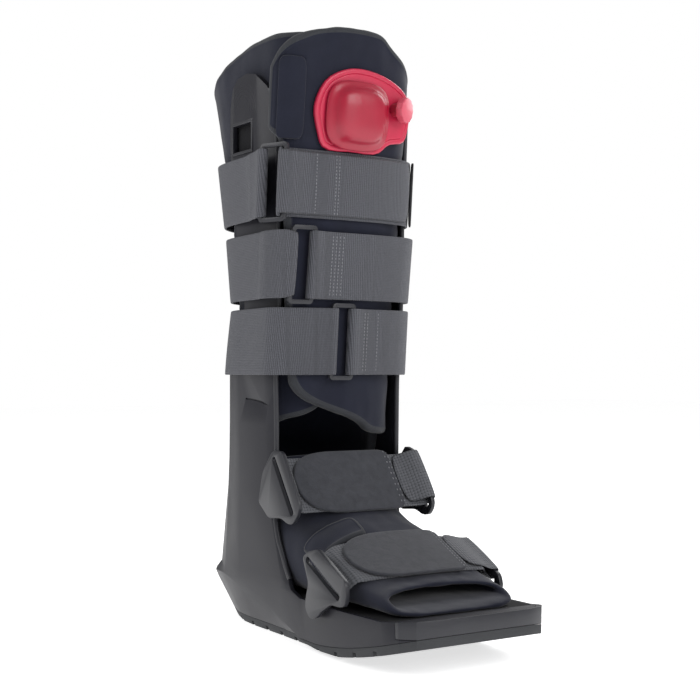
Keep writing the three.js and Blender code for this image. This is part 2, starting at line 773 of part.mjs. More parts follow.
/** Point round a section: angle 0 is the instep, 180 the sole, negative angles the near side. */
function footPoint(place, angle, grow) {
  const section = footSection(place);
  const axis = section.top.clone().sub(section.bottom);
  const length = axis.length() / 2 + grow;
  const middle = section.top.clone().add(section.bottom).multiplyScalar(0.5);
  const a = THREE.MathUtils.degToRad(angle);
  const c = Math.cos(a);
  const s = Math.sin(a);
  const power = c > 0 ? 0.85 : lerp(1, 0.45, section.square);
  const p = middle.addScaledVector(axis.normalize(), length * Math.sign(c) * Math.abs(c) ** power);
  p.x = (section.half + grow) * Math.sign(s) * Math.abs(s) ** power;
  return p;
}

function addFootLiner() {
  const columns = 28;
  const face = (grow) => FOOT.map((_, place) => Array.from({ length: columns }, (__, i) => (
    footPoint(place, (i * 360) / columns, grow)
  )));
  const outer = face(0);
  const inner = face(-foot.thickness);
  addMesh('liner_foot', wall(outer, inner, true), navyFoam);

  const flapFace = (grow) => [2.35, 2.7, 3.05, 3.4].map((place) => (
    [-80, -65, -50, -35, -22, -15].map((angle) => footPoint(place, angle, grow))
  ));
  const thickness = 2.4;
  addMesh('liner_foot_flap', wall(flapFace(0.5 + thickness), flapFace(0.5)), navyFoam);
}

// Straps

/** Both sides of a strip of webbing that follows a path, by the mean normal at each point. */
function stripSides(path, thickness) {
  const side = (sign) => path.map((p, i) => {
    const before = path[Math.max(i - 1, 0)];
    const after = path[Math.min(i + 1, path.length - 1)];
    const into = new THREE.Vector2().subVectors(p, before);
    const out = new THREE.Vector2().subVectors(after, p);
    if (into.length() === 0) into.copy(out);
    if (out.length() === 0) out.copy(into);
    into.normalize();
    out.normalize();
    const mean = new THREE.Vector2().addVectors(into, out).normalize();
    const stretch = 1 / Math.max(mean.dot(into), 0.7);
    return new THREE.Vector2(-mean.y, mean.x).multiplyScalar(sign * stretch * thickness / 2).add(p);
  });
  return [side(1), side(-1)];
}

/** Half a turn round a bar, from one side of it to the other. */
function barTurn(centre, radius, from, to, steps = 5) {
  return Array.from({ length: steps + 1 }, (_, i) => {
    const a = THREE.MathUtils.degToRad(lerp(from, to, i / steps));
    return new THREE.Vector2(centre.x + radius * Math.cos(a), centre.y + radius * Math.sin(a));
  });
}

function strapPlan(strap, z) {
  const size = legSize(z);
  const shellBack = z <= upright.backHeight + 2 ? shellPoint(STATIONS.length - 1, z).y : 0;
  return legPlan({
    near: { width: strap.near, backWidth: strap.back, radius: calfStrap.nearRadius },
    far: { width: calfStrap.far, backWidth: strap.back, radius: strap.farRadius },
    front: size.front - 2.6 * SEAT,
    back: Math.max(size.back, shellBack) + 3 * SEAT,
    crown: 2.4,
  });
}

/** Maps (distance round the leg, height above its face) to a plan, in step at every height. */
function aroundLeg(strap) {
  const reference = strapPlan(strap, strap.low + calfStrap.width / 2);
  const stops = [0];
  for (let i = 1; i <= reference.length; i += 1) {
    const step = reference[i % reference.length].distanceTo(reference[i - 1]);
    stops.push(stops[i - 1] + step);
  }
  const length = stops[reference.length];
  const place = (s, out, z) => {
    const plan = strapPlan(strap, z);
    const count = plan.length;
    const at = ((s % length) + length) % length;
    let i = 0;
    while (i < count - 1 && stops[i + 1] < at) i += 1;
    const t = (at - stops[i]) / (stops[i + 1] - stops[i]);
    const normalAt = (k) => {
      const a = plan[(k + count - 1) % count];
      const b = plan[(k + 1) % count];
      return new THREE.Vector2(a.y - b.y, b.x - a.x).normalize();
    };
    const normal = normalAt(i).lerp(normalAt((i + 1) % count), t).normalize();
    const p = plan[i].clone().lerp(plan[(i + 1) % count], t).addScaledVector(normal, out);
    return new THREE.Vector3(p.x, p.y, z);
  };
  return { stops, length, place };
}

/** Corners of the plan between two distances round the leg. */
function stopsBetween(around, from, to) {
  const found = [];
  for (let turn = -1; turn <= 2; turn += 1) {
    for (const stop of around.stops.slice(0, -1)) {
      const s = stop + turn * around.length;
      if (s > from + 2 && s < to - 2) found.push(s);
    }
  }
  return found.sort((a, b) => a - b);
}

function addCalfStrap(name, strap) {
  const around = aroundLeg(strap);
  const t = webbing.thickness;
  const first = t / 2;
  const turn = webbing.bar * 0.75 + SEAT + t / 2; // clears the bar's corners
  const second = first + t + SEAT + 0.1;
  const bar = first + turn;
  const left = strap.ringAt + webbing.ring;
  const right = around.length + strap.ringAt - webbing.ring;
  const tailEnd = left + webbing.tail;
  const end = around.length - strap.overlapEnd;
  const at = (s, out) => new THREE.Vector2(s, out);
  const path = [
    at(tailEnd, first),
    at(left + 8, first),
    ...barTurn(at(left, bar), turn, -90, -270),
    at(left + 7, second + 1.6),
    at(left + 14, second + 0.3),
    at(tailEnd + 1, second),
    at(tailEnd + 8, first),
    ...stopsBetween(around, tailEnd + 8, right - 2).map((s) => at(s, first)),
    ...barTurn(at(right, bar), turn, -90, 90),
    at(right - 7, second + 1.6),
    at(right - 14, second + 0.3),
    ...stopsBetween(around, end, right - 14).reverse().map((s) => at(s, second)),
    at(end, second),
  ];
  const [outer, inner] = stripSides(path, t);
  const high = strap.low + calfStrap.width;
  const heights = strap.low < upright.backHeight
    ? [strap.low, upright.backHeight + 2, high]
    : [strap.low, high];
  const face = (line) => heights.map((z) => line.map((p) => around.place(p.x, p.y, z)));
  addMesh(`strap_calf_${name}`, wall(face(outer), face(inner)), webGrey);

  const bars = [right, left].map((s) => [strap.low, high].map((z) => around.place(s, bar, z)));
  addRing(name, bars);
  if (name === 'top') addHookTab(around, end, second, heights);
}

function roundedRectangle(path, halfX, halfY, radius) {
  path.moveTo(halfX, -halfY + radius);
  path.lineTo(halfX, halfY - radius);
  path.absarc(halfX - radius, halfY - radius, radius, 0, Math.PI / 2, false);
  path.lineTo(-halfX + radius, halfY);
  path.absarc(-halfX + radius, halfY - radius, radius, Math.PI / 2, Math.PI, false);
  path.lineTo(-halfX, -halfY + radius);
  path.absarc(-halfX + radius, -halfY + radius, radius, Math.PI, Math.PI * 1.5, false);
  path.lineTo(halfX - radius, -halfY);
  path.absarc(halfX - radius, -halfY + radius, radius, Math.PI * 1.5, Math.PI * 2, false);
  return path;
}

/** A rectangular ring whose two side bars follow the folds of the webbing, which may splay. */
function addRing(name, bars) {
  const [[a, b], [c, d]] = bars;
  const across = new THREE.Vector3().subVectors(c, a).add(d).sub(b).multiplyScalar(0.5);
  const up = new THREE.Vector3().subVectors(b, a).add(d).sub(c).multiplyScalar(0.5);
  const out = new THREE.Vector3().crossVectors(across, up).normalize();
  const halfX = across.length() / 2;
  const halfY = up.length() / 2;
  const bar = webbing.bar;
  const clear = halfY + 0.6;
  const shape = roundedRectangle(new THREE.Shape(), halfX + bar / 2, clear + ringReach, 3);
  shape.holes.push(roundedRectangle(new THREE.Path(), halfX - bar / 2, clear, 1.5));
  const options = { depth: bar, bevelEnabled: false, curveSegments: 3 };
  const geometry = new THREE.ExtrudeGeometry(shape, options);
  const position = geometry.attributes.position;
  for (let i = 0; i < position.count; i += 1) {
    const u = (position.getX(i) / halfX + 1) / 2;
    const v = (position.getY(i) / halfY + 1) / 2;
    const p = a.clone().lerp(b, v).lerp(c.clone().lerp(d, v), u);
    p.addScaledVector(out, position.getZ(i) - bar / 2);
    position.setXYZ(i, p.x, p.y, p.z);
  }
  addMesh(`ring_${name}`, geometry, charcoal);
}

function addHookTab(around, end, out, heights) {
  const from = end - SEAT;
  const to = from - hookTab.length;
  const path = [from, ...stopsBetween(around, to, from).reverse(), to]
    .map((s) => new THREE.Vector2(s, out + 0.2));
  const [outer, inner] = stripSides(path, hookTab.thickness);
  const face = (line) => heights.map((z) => line.map((p) => around.place(p.x, p.y, z)));
  addMesh('hook_tab_top', wall(face(outer), face(inner)), hookBlack);
}

// Foot straps and their ears

/** Frame of a foot strap: w runs down its width, h stands out from the instep. */
function strapFrame(at) {
  const lean = THREE.MathUtils.degToRad(at.lean);
  const w = new THREE.Vector3(0, -Math.cos(lean), -Math.sin(lean));
  const h = new THREE.Vector3(0, -Math.sin(lean), Math.cos(lean));
  const origin = new THREE.Vector3(0, at.y, at.z);
  return (x, alongW, alongH) => origin.clone()
    .addScaledVector(w, alongW)
    .addScaledVector(h, alongH)
    .add(new THREE.Vector3(x, 0, 0));
}

// Ear outlines in the strap's frame, as shares of the strap's width (w) and of the bar (h).
// front: the edge of the bar, which lies closer to the slot on the far side
const ANKLE_EAR = [
  { w: -0.63, h: 0.06 },
  { w: -0.6, h: 0.35, front: true },
  { w: -0.47, h: 1.0, front: true },
  { w: 0.5, h: 1.0, front: true },
  { w: 0.6, h: 0.6, front: true },
  { w: 0.66, h: -0.3 },
  { w: 0.58, h: -0.9 },
  { w: 0.4, h: -1.45 },
  { w: 0.2, h: -3.0 },
  { w: -0.18, h: -3.6 },
  { w: -0.52, h: -1.85 },
];
const TOE_EAR = [
  { w: -0.64, h: -0.15 },
  { w: -0.52, h: 0.45, front: true },
  { w: -0.33, h: 1.0, front: true },
  { w: 0.56, h: 1.0, front: true },
  { w: 0.66, h: 0.5, front: true },
  { w: 0.71, h: 0.0 },
  { w: 0.62, h: -0.37 },
  { w: 0.37, h: -0.87 },
  { w: 0.2, h: -1.9 },
  { w: 0.14, h: -2.52 },
  { w: 0.0, h: -3.0 },
  { w: -0.18, h: -2.8 },
  { w: -0.25, h: -2.3 },
  { w: -0.3, h: -1.2 },
];

function addEar(name, at, table, side) {
  const bar = side < 0 ? at.bar : ear.farBar;
  const edge = ear.slot / 2 + bar;
  const outline = table.map(({ w, h, front }) => new THREE.Vector2(
    w * at.width,
    h * (front ? edge : at.bar),
  ));
  const shape = new THREE.Shape(outline);
  const slot = roundedRectangle(new THREE.Path(), at.width / 2 + 1.4, ear.slot / 2, 2);
  shape.holes.push(slot);
  const options = { depth: ear.thickness, bevelEnabled: false, curveSegments: 3 };
  const geometry = new THREE.ExtrudeGeometry(shape, options);
  const frame = strapFrame(at);
  const zero = frame(0, 0, -at.slotDrop);
  const w = frame(0, 1, -at.slotDrop).sub(zero);
  const h = frame(0, 0, 1 - at.slotDrop).sub(zero);
  const x = new THREE.Vector3().crossVectors(w, h);
  const start = side * x.x > 0 ? at.x : at.x + ear.thickness;
  zero.x = side * start;
  geometry.applyMatrix4(new THREE.Matrix4().makeBasis(w, h, x).setPosition(zero));
  addMesh(name, geometry, charcoal);
}

function addFootStrap(name, at) {
  const frame = strapFrame(at);
  const t = webbing.thickness;
  const half = at.width / 2;
  const drop = -at.slotDrop;
  const inside = at.x - SEAT - t / 2;
  const outside = at.x + ear.thickness + SEAT + t / 2;
  const crest = drop + ear.slot / 2 + ear.farBar + SEAT + t / 2;
  const crown = -felt.thickness - SEAT - t / 2;
  const lift = t / 2 + SEAT + 0.15; // underside of the felt above the webbing's middle
  const bow = (x, w) => {
    const sag = lerp(at.sag.back, at.sag.front, THREE.MathUtils.clamp((w / half + 1) / 2, 0, 1));
    return crown - sag * Math.abs(x / at.reach) ** 2.5;
  };
  const path = (w) => {
    const run = [-1, -0.88, -0.72, -0.45, -0.2, 0, 0.2, 0.45, 0.72, 0.88, 1];
    const turnX = lerp(at.stitchX, at.x, 0.45);
    return [
      [-inside, drop - 3.5],
      [-inside, drop - 1],
      [-inside + 2.5, drop + 0.8],
      ...run.map((share) => [share * at.reach, bow(share * at.reach, w)]),
      [inside - 2, drop],
      [outside - 1, drop],
      [outside, drop + 1],
      [outside, crest - 1],
      [outside - 1, crest],
      [at.x - 4, crest - 0.4],
      [turnX, bow(turnX, w) + lift + t],
      [at.stitchX + SEAT, bow(at.stitchX, w) + lift + t / 2],
    ].map(([x, h]) => new THREE.Vector2(x, h));
  };
  const face = (side) => [-half, half].map((w) => (
    stripSides(path(w), t)[side].map((p) => frame(p.x, w, p.y))
  ));
  addMesh(`strap_${name}`, wall(face(0), face(1)), webGrey);

  const columns = [
    { x: -1, half: 0.16 },
    { x: -0.97, half: 0.42 },
    { x: -0.88, half: 0.7 },
    { x: -0.72, half: 0.9 },
    { x: -0.45, half: 1.0 },
    { x: -0.2, half: 1.0 },
    { x: 0, half: 1.0 },
    { x: 0.2, half: 1.0 },
    { x: 0.45, half: 1.0 },
    { x: at.stitchX / at.tipX, half: 1.0 },
  ];
  const widest = half + felt.overhang;
  const sheet = (grow) => [-1, -0.5, 0, 0.5, 1].map((share) => columns.map((row) => {
    const x = row.x * at.tipX;
    const w = share * row.half * widest;
    return frame(x, w, bow(x, w) + lift + grow);
  }));
  addMesh(`tongue_${name}`, wall(sheet(felt.thickness), sheet(0)), feltGrey);
}

// Air pump

const PUMP_OUTLINE = [
  { x: -0.98, y: 0.1 },
  { x: -0.91, y: -0.43 },
  { x: -0.79, y: -0.81 },
  { x: -0.3, y: -0.85 },
  { x: 0.14, y: -0.83 },
  { x: 0.33, y: -0.6 },
  { x: 0.6, y: -0.49 },
  { x: 0.69, y: -0.1 },
  { x: 0.69, y: 0.38 },
  { x: 0.55, y: 0.66 },
  { x: 0.24, y: 0.93 },
  { x: -0.18, y: 1.06 },
  { x: -0.5, y: 1.0 },
  { x: -0.82, y: 0.7 },
];
const PUMP_SIZE = { halfX: 49.5, halfY: 31 };

function superellipse(halfX, halfY, power, count, centreX, centreY, z) {
  return Array.from({ length: count }, (_, i) => {
    const a = (i / count) * Math.PI * 2;
    const c = Math.cos(a);
    const s = Math.sin(a);
    return new THREE.Vector3(
      centreX + halfX * Math.sign(c) * Math.abs(c) ** power,
      centreY + halfY * Math.sign(s) * Math.abs(s) ** power,
      z,
    );
  });
}

function addPump() {
  const reach = PUMP_SIZE.halfY;
  const rise = legSize(pump.height - reach).front - legSize(pump.height + reach).front;
  const lean = Math.atan2(rise, 2 * reach);
  let front = 0;
  for (let share = -1; share <= 1; share += 0.1) {
    const z = pump.height + share * reach;
    front = Math.max(front, -legSize(z).front - share * reach * Math.tan(lean));
  }
  const group = new THREE.Group();
  group.position.set(pump.x, -front - SEAT, pump.height);
  group.rotation.x = Math.PI / 2 + lean;
  boot.add(group);

  const curve = new THREE.CatmullRomCurve3(
    PUMP_OUTLINE.map(({ x, y }) => (
      new THREE.Vector3(x * PUMP_SIZE.halfX, y * PUMP_SIZE.halfY, 0)
    )),
    true,
    'centripetal',
  );
  const outline = curve.getPoints(44).slice(0, -1).map((p) => new THREE.Vector2(p.x, p.y));
  const bevel = 0.9;
  const plate = new THREE.ExtrudeGeometry(new THREE.Shape(outline), {
    depth: pump.plate - bevel,
    bevelEnabled: true,
    bevelThickness: bevel,
    bevelSize: bevel,
    bevelOffset: -bevel,
    bevelSegments: 1,
  });
  const bodyPlate = toManifold(plate);
  const keep = new THREE.BoxGeometry(200, 200, pump.plate * 2);
  keep.translate(0, 0, pump.plate);
  addMesh('pump_plate', fromManifold(bodyPlate.intersect(toManifold(keep))), crimson, group);

  const base = pump.plate + SEAT;
  const rings = [
    { z: 0, grow: 1.0 },
    { z: 0.2, grow: 1.0 },
    { z: 0.3, grow: 0.93 },
    { z: 0.42, grow: 0.8 },
    { z: 0.72, grow: 0.73 },
    { z: 0.9, grow: 0.6 },
    { z: 1.0, grow: 0.36 },
  ].map(({ z, grow }) => superellipse(
    (pump.bulbWidth / 2) * grow,
    (pump.bulbTall / 2) * grow,
    0.62,
    28,
    pump.bulbX,
    -1,
    base + z * pump.bulbHeight,
  ));
  addMesh('pump_bulb', loft(rings), crimson, group);
  addValve(group, base);
}

function addValve(group, base) {
  const stem = new THREE.Group();
  stem.position.set(valve.x, valve.up, pump.plate);
  stem.rotation.y = THREE.MathUtils.degToRad(valve.turn);
  group.add(stem);
  stem.updateMatrix();

  const neck = new THREE.CylinderGeometry(valve.neck, valve.neck, valve.body * 3, 20);
  neck.rotateX(Math.PI / 2);
  neck.applyMatrix4(stem.matrix);
  const above = new THREE.BoxGeometry(400, 400, 100);
  above.translate(0, 0, base + 50);
  const wide = new THREE.BoxGeometry(60, 60, valve.body * 4);
  wide.translate(0, 0, -valve.body);
  wide.applyMatrix4(stem.matrix);
  const body = toManifold(neck).intersect(toManifold(above)).intersect(toManifold(wide));
  addMesh('valve_body', fromManifold(body), crimson, group);

  const shape = new THREE.Shape(Array.from({ length: valve.flutes * 2 }, (_, i) => {
    const a = (i / (valve.flutes * 2)) * Math.PI * 2;
    const r = valve.radius * (i % 2 ? 0.94 : 1);
    return new THREE.Vector2(r * Math.cos(a), r * Math.sin(a));
  }));
  const dial = new THREE.ExtrudeGeometry(shape, { depth: valve.dial, bevelEnabled: false });
  dial.translate(0, 0, valve.body + SEAT);
  addMesh('valve_dial', dial, crimson, stem);
}

addShell();
addOutsole();
addFootbed();
addWindowPatches();
addLinerLeg();
addFrontFlap();
addClosureStrip();
addFootLiner();
for (const [name, strap] of Object.entries(calfStraps)) addCalfStrap(name, strap);
for (const [name, at, table] of [['ankle', ankle, ANKLE_EAR], ['toe', toe, TOE_EAR]]) {
  addEar(`ear_${name}_near`, at, table, -1);
  addEar(`ear_${name}_far`, at, table, 1);
  addFootStrap(name, at);
}
addPump();

export default boot;
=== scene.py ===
"""Looks of a tall walking boot: moulded shell, padded liner, webbing straps and a crimson air pump."""

from __future__ import annotations

import json
import logging
import math
import sys
from collections.abc import Callable, Iterator
from contextlib import contextmanager
from dataclasses import dataclass
from enum import Enum

import bmesh
import bpy
from mathutils import Matrix, Vector, noise
from mathutils.bvhtree import BVHTree
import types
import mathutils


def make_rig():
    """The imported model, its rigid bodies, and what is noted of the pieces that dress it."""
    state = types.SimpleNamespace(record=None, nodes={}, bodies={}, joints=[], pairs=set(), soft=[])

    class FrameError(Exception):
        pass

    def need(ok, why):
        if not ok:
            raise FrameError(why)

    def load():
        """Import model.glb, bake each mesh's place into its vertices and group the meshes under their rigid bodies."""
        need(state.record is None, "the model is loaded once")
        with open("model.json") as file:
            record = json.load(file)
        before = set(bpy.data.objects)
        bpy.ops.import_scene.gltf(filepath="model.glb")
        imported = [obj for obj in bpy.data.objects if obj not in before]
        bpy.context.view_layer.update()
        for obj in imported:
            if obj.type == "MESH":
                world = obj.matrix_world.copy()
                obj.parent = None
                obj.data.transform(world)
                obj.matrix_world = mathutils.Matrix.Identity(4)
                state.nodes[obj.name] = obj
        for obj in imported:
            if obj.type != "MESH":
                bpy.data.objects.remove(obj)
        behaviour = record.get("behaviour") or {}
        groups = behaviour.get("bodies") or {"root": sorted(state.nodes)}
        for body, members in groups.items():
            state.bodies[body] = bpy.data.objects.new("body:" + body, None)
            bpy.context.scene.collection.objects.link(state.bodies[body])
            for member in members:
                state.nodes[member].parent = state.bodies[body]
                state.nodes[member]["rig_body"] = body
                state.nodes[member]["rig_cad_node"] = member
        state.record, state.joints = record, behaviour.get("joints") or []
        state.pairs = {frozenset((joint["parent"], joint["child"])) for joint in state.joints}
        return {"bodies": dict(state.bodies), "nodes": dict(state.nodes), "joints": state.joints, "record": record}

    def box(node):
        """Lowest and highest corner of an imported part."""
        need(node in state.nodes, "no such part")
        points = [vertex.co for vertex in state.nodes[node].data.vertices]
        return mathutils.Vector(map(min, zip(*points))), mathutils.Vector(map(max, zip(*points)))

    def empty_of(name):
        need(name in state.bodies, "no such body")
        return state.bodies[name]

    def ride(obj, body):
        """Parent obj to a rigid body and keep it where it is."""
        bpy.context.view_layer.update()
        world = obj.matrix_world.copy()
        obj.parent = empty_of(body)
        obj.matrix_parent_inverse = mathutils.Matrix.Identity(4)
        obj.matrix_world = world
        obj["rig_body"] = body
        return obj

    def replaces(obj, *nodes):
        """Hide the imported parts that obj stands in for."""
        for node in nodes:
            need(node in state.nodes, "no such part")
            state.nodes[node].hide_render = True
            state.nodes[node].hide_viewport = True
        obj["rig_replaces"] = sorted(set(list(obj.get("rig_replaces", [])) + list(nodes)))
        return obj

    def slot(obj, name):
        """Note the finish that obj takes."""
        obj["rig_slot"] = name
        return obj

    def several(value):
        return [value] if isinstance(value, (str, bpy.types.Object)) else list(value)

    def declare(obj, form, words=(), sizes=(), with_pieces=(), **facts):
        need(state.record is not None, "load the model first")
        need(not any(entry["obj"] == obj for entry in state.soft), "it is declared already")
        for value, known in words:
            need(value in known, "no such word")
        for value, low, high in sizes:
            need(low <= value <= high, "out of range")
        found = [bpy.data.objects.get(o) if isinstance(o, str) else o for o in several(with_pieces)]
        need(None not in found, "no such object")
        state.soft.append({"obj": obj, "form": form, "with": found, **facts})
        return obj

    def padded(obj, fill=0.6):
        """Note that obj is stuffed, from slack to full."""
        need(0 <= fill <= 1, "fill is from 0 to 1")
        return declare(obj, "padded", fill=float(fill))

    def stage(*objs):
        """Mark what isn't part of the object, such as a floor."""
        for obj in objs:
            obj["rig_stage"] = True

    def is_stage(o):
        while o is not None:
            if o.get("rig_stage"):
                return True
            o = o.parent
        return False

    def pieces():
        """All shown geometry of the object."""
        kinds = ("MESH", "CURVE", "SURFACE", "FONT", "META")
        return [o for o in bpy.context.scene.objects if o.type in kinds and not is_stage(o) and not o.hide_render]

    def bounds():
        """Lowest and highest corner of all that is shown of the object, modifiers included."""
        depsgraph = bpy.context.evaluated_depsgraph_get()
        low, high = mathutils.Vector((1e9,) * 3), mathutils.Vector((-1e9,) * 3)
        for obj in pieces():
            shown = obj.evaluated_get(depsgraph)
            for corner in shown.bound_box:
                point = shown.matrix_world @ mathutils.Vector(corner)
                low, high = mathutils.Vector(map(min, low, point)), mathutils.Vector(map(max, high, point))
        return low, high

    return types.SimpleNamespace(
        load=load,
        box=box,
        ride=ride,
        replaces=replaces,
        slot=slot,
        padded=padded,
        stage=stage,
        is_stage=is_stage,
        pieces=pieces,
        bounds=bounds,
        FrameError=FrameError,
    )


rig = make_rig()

LOG = logging.getLogger("boot")
MM = 0.001
CLEARANCE = 0.35 * MM
MERGE_DISTANCE = 0.02 * MM
FLAT_ANGLE = math.radians(0.6)
BODY = "boot"
DIAL_BODY = "valve_dial"
SIZE_FILE = "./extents.json"

Point = tuple[float, float, float]
Colour = tuple[float, float, float]


# Working on meshes


def select_only(piece: bpy.types.Object) -> None:
    """Selects one object and makes it the active one.

    Args:
        piece: the object to work on.
    """
    bpy.ops.object.select_all(action="DESELECT")
    piece.hide_viewport = False
    piece.select_set(True)
    bpy.context.view_layer.objects.active = piece


@contextmanager
def editing(piece: bpy.types.Object) -> Iterator[None]:
    """Edit mode on one object, with everything selected at the start.

    Args:
        piece: the mesh object to edit.
    """
    select_only(piece)
    bpy.ops.object.mode_set(mode="EDIT")
    bpy.ops.mesh.select_mode(type="FACE")
    bpy.ops.mesh.select_all(action="SELECT")
    yield
    bpy.ops.object.mode_set(mode="OBJECT")


def select_faces(piece: bpy.types.Object, wanted: Callable[[bmesh.types.BMFace], bool]) -> None:
    """Selects faces of the mesh in edit mode.

    Args:
        piece: the object in edit mode.
        wanted: says whether a face is selected.
    """
    mesh = bmesh.from_edit_mesh(piece.data)
    mesh.normal_update()
    chosen = [face for face in mesh.faces if wanted(face)]
    for face in mesh.faces:
        face.select_set(False)
    for face in chosen:
        face.select_set(True)
    mesh.select_flush_mode()
    bmesh.update_edit_mesh(piece.data)


def finish_modifier(piece: bpy.types.Object, kind: str, **settings: object) -> None:
    """Adds a modifier with its settings and applies it.

    Args:
        piece: the object to change.
        kind: Blender's name for the modifier.
        settings: the modifier's properties.
    """
    select_only(piece)
    modifier = piece.modifiers.new(kind.lower(), kind)
    for key, value in settings.items():
        setattr(modifier, key, value)
    bpy.ops.object.modifier_apply(modifier=modifier.name)


def copy_node(node: str, name: str) -> bpy.types.Object:
    """A merged copy of a CAD node, ready to be detailed.

    Args:
        node: the CAD node's name.
        name: the new piece's name.

    Returns:
        The new object, with its place in its mesh.
    """
    mesh = bpy.data.objects[node].data.copy()
    piece = bpy.data.objects.new(name, mesh)
    bpy.context.scene.collection.objects.link(piece)
    mesh.materials.clear()
    with editing(piece):
        if mesh.has_custom_normals:
            bpy.ops.mesh.customdata_custom_splitnormals_clear()
        bpy.ops.mesh.remove_doubles(threshold=MERGE_DISTANCE)
    return piece


def len_of(edge: bmesh.types.BMEdge) -> float:
    """Length of an edge."""
    return (edge.verts[0].co - edge.verts[1].co).length


def smooth(piece: bpy.types.Object, degrees: float = 180.0) -> None:
    """Shades a piece smooth, with edges sharper than an angle kept.

    Args:
        piece: the object to shade.
        degrees: edges that turn more than this stay sharp.
    """
    select_only(piece)
    bpy.ops.object.shade_smooth_by_angle(angle=math.radians(degrees))


def settle(piece: bpy.types.Object, body: str, slot: str, *nodes: str) -> bpy.types.Object:
    """Hands a finished piece to the frame.

    Args:
        piece: the finished object.
        body: the CAD body that it rides on.
        slot: the record's material slot.
        nodes: the CAD nodes that it stands for.

    Returns:
        The same piece.
    """
    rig.ride(piece, body)
    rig.slot(piece, slot)
    if nodes:
        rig.replaces(piece, *nodes)
    LOG.info("%s: %d faces", piece.name, len(piece.data.polygons))
    return piece


def new_mesh(name: str, points: list[Vector], faces: list[tuple[int, ...]]) -> bpy.types.Object:
    """An object from points and faces.

    Args:
        name: the object's name.
        points: its vertices in metres.
        faces: vertex numbers of each face.

    Returns:
        The new object.
    """
    mesh = bpy.data.meshes.new(name)
    mesh.from_pydata([tuple(p) for p in points], [], faces)
    mesh.update()
    piece = bpy.data.objects.new(name, mesh)
    bpy.context.scene.collection.objects.link(piece)
    return piece


def flat_areas(piece: bpy.types.Object, degrees: float) -> list[set[int]]:
    """Groups of faces that meet at gentle angles, the largest area first.

    Args:
        piece: the mesh object.
        degrees: edges that turn more than this part two groups.

    Returns:
        Sets of face numbers.
    """
    mesh = bmesh.new()
    mesh.from_mesh(piece.data)
    mesh.faces.ensure_lookup_table()
    limit = math.radians(degrees)
    left = set(range(len(mesh.faces)))
    groups = []
    while left:
        start = left.pop()
        group = {start}
        stack = [mesh.faces[start]]
        while stack:
            for edge in stack.pop().edges:
                if len(edge.link_faces) != 2 or edge.calc_face_angle(0.0) > limit:
                    continue
                for face in edge.link_faces:
                    if face.index in left:
                        left.remove(face.index)
                        group.add(face.index)
                        stack.append(face)
        groups.append(group)
    groups.sort(key=lambda g: -sum(mesh.faces[i].calc_area() for i in g))
    mesh.free()
    return groups


def tree_of(*names: str) -> BVHTree:
    """A search tree over the surfaces of some objects.

    Args:
        names: the objects' names.

    Returns:
        The tree, in the row frame.
    """
    points: list[Vector] = []
    faces: list[tuple[int, ...]] = []
    for name in names:
        mesh = bpy.data.objects[name].data
        offset = len(points)
        points += [v.co.copy() for v in mesh.vertices]
        faces += [tuple(i + offset for i in p.vertices) for p in mesh.polygons]
    return BVHTree.FromPolygons(points, faces)


# Shader node helpers


def link_or_set(tree: bpy.types.NodeTree, socket: bpy.types.NodeSocket, value: object) -> None:
    """Feeds a socket from another socket or sets its own value.

    Args:
        tree: the node tree.
        socket: the input to feed.
        value: an output socket or a plain value.
    """
    if isinstance(value, bpy.types.NodeSocket):
        tree.links.new(value, socket)
    elif socket.type == "RGBA" and len(value) == 3:
        socket.default_value = (*value, 1.0)
    else:
        socket.default_value = value


def add_node(tree: bpy.types.NodeTree, kind: str, inputs: dict, **settings: object) -> bpy.types.Node:
    """Adds a node with its settings and inputs.

    Args:
        tree: the node tree.
        kind: the node's type.
        inputs: input name or number to a socket or value.
        settings: the node's properties.

    Returns:
        The new node.
    """
    made = tree.nodes.new(kind)
    for key, value in settings.items():
        setattr(made, key, value)
    for key, value in inputs.items():
        link_or_set(tree, made.inputs[key], value)
    return made


def calc(tree: bpy.types.NodeTree, operation: str, *values: object) -> bpy.types.NodeSocket:
    """A Math node's result.

    Args:
        tree: the node tree.
        operation: the operation's name.
        values: its inputs, sockets or numbers.

    Returns:
        The output socket.
    """
    inputs = dict(enumerate(values))
    return add_node(tree, "ShaderNodeMath", inputs, operation=operation).outputs[0]


def noise_value(
    tree: bpy.types.NodeTree,
    source: bpy.types.Node,
    scale: object,
    detail: float,
    **more: float,
) -> bpy.types.NodeSocket:
    """A Noise Texture's value at a group's coordinates.

    Args:
        tree: the group's node tree.
        source: the group's input node.
        scale: the texture's scale, a socket or a number.
        detail: the texture's detail.
        more: the texture's other inputs by name.

    Returns:
        The output socket.
    """
    inputs = {"Vector": source.outputs["Coordinates"], "Scale": scale, "Detail": detail, **more}
    return add_node(tree, "ShaderNodeTexNoise", inputs).outputs["Fac"]


def new_group(name: str, inputs: dict[str, float | None], outputs: tuple[str, ...]) -> tuple:
    """An empty shader group with named sockets.

    Args:
        name: the group's name.
        inputs: socket name to its default, or None for a vector.
        outputs: names of its value outputs.

    Returns:
        The group, its input node and its output node.
    """
    group = bpy.data.node_groups.new(name, "ShaderNodeTree")
    for key, default in inputs.items():
        kind = "NodeSocketVector" if default is None else "NodeSocketFloat"
        socket = group.interface.new_socket(key, in_out="INPUT", socket_type=kind)
        if default is not None:
            socket.default_value = default
    for key in outputs:
        group.interface.new_socket(key, in_out="OUTPUT", socket_type="NodeSocketFloat")
    return group, group.nodes.new("NodeGroupInput"), group.nodes.new("NodeGroupOutput")


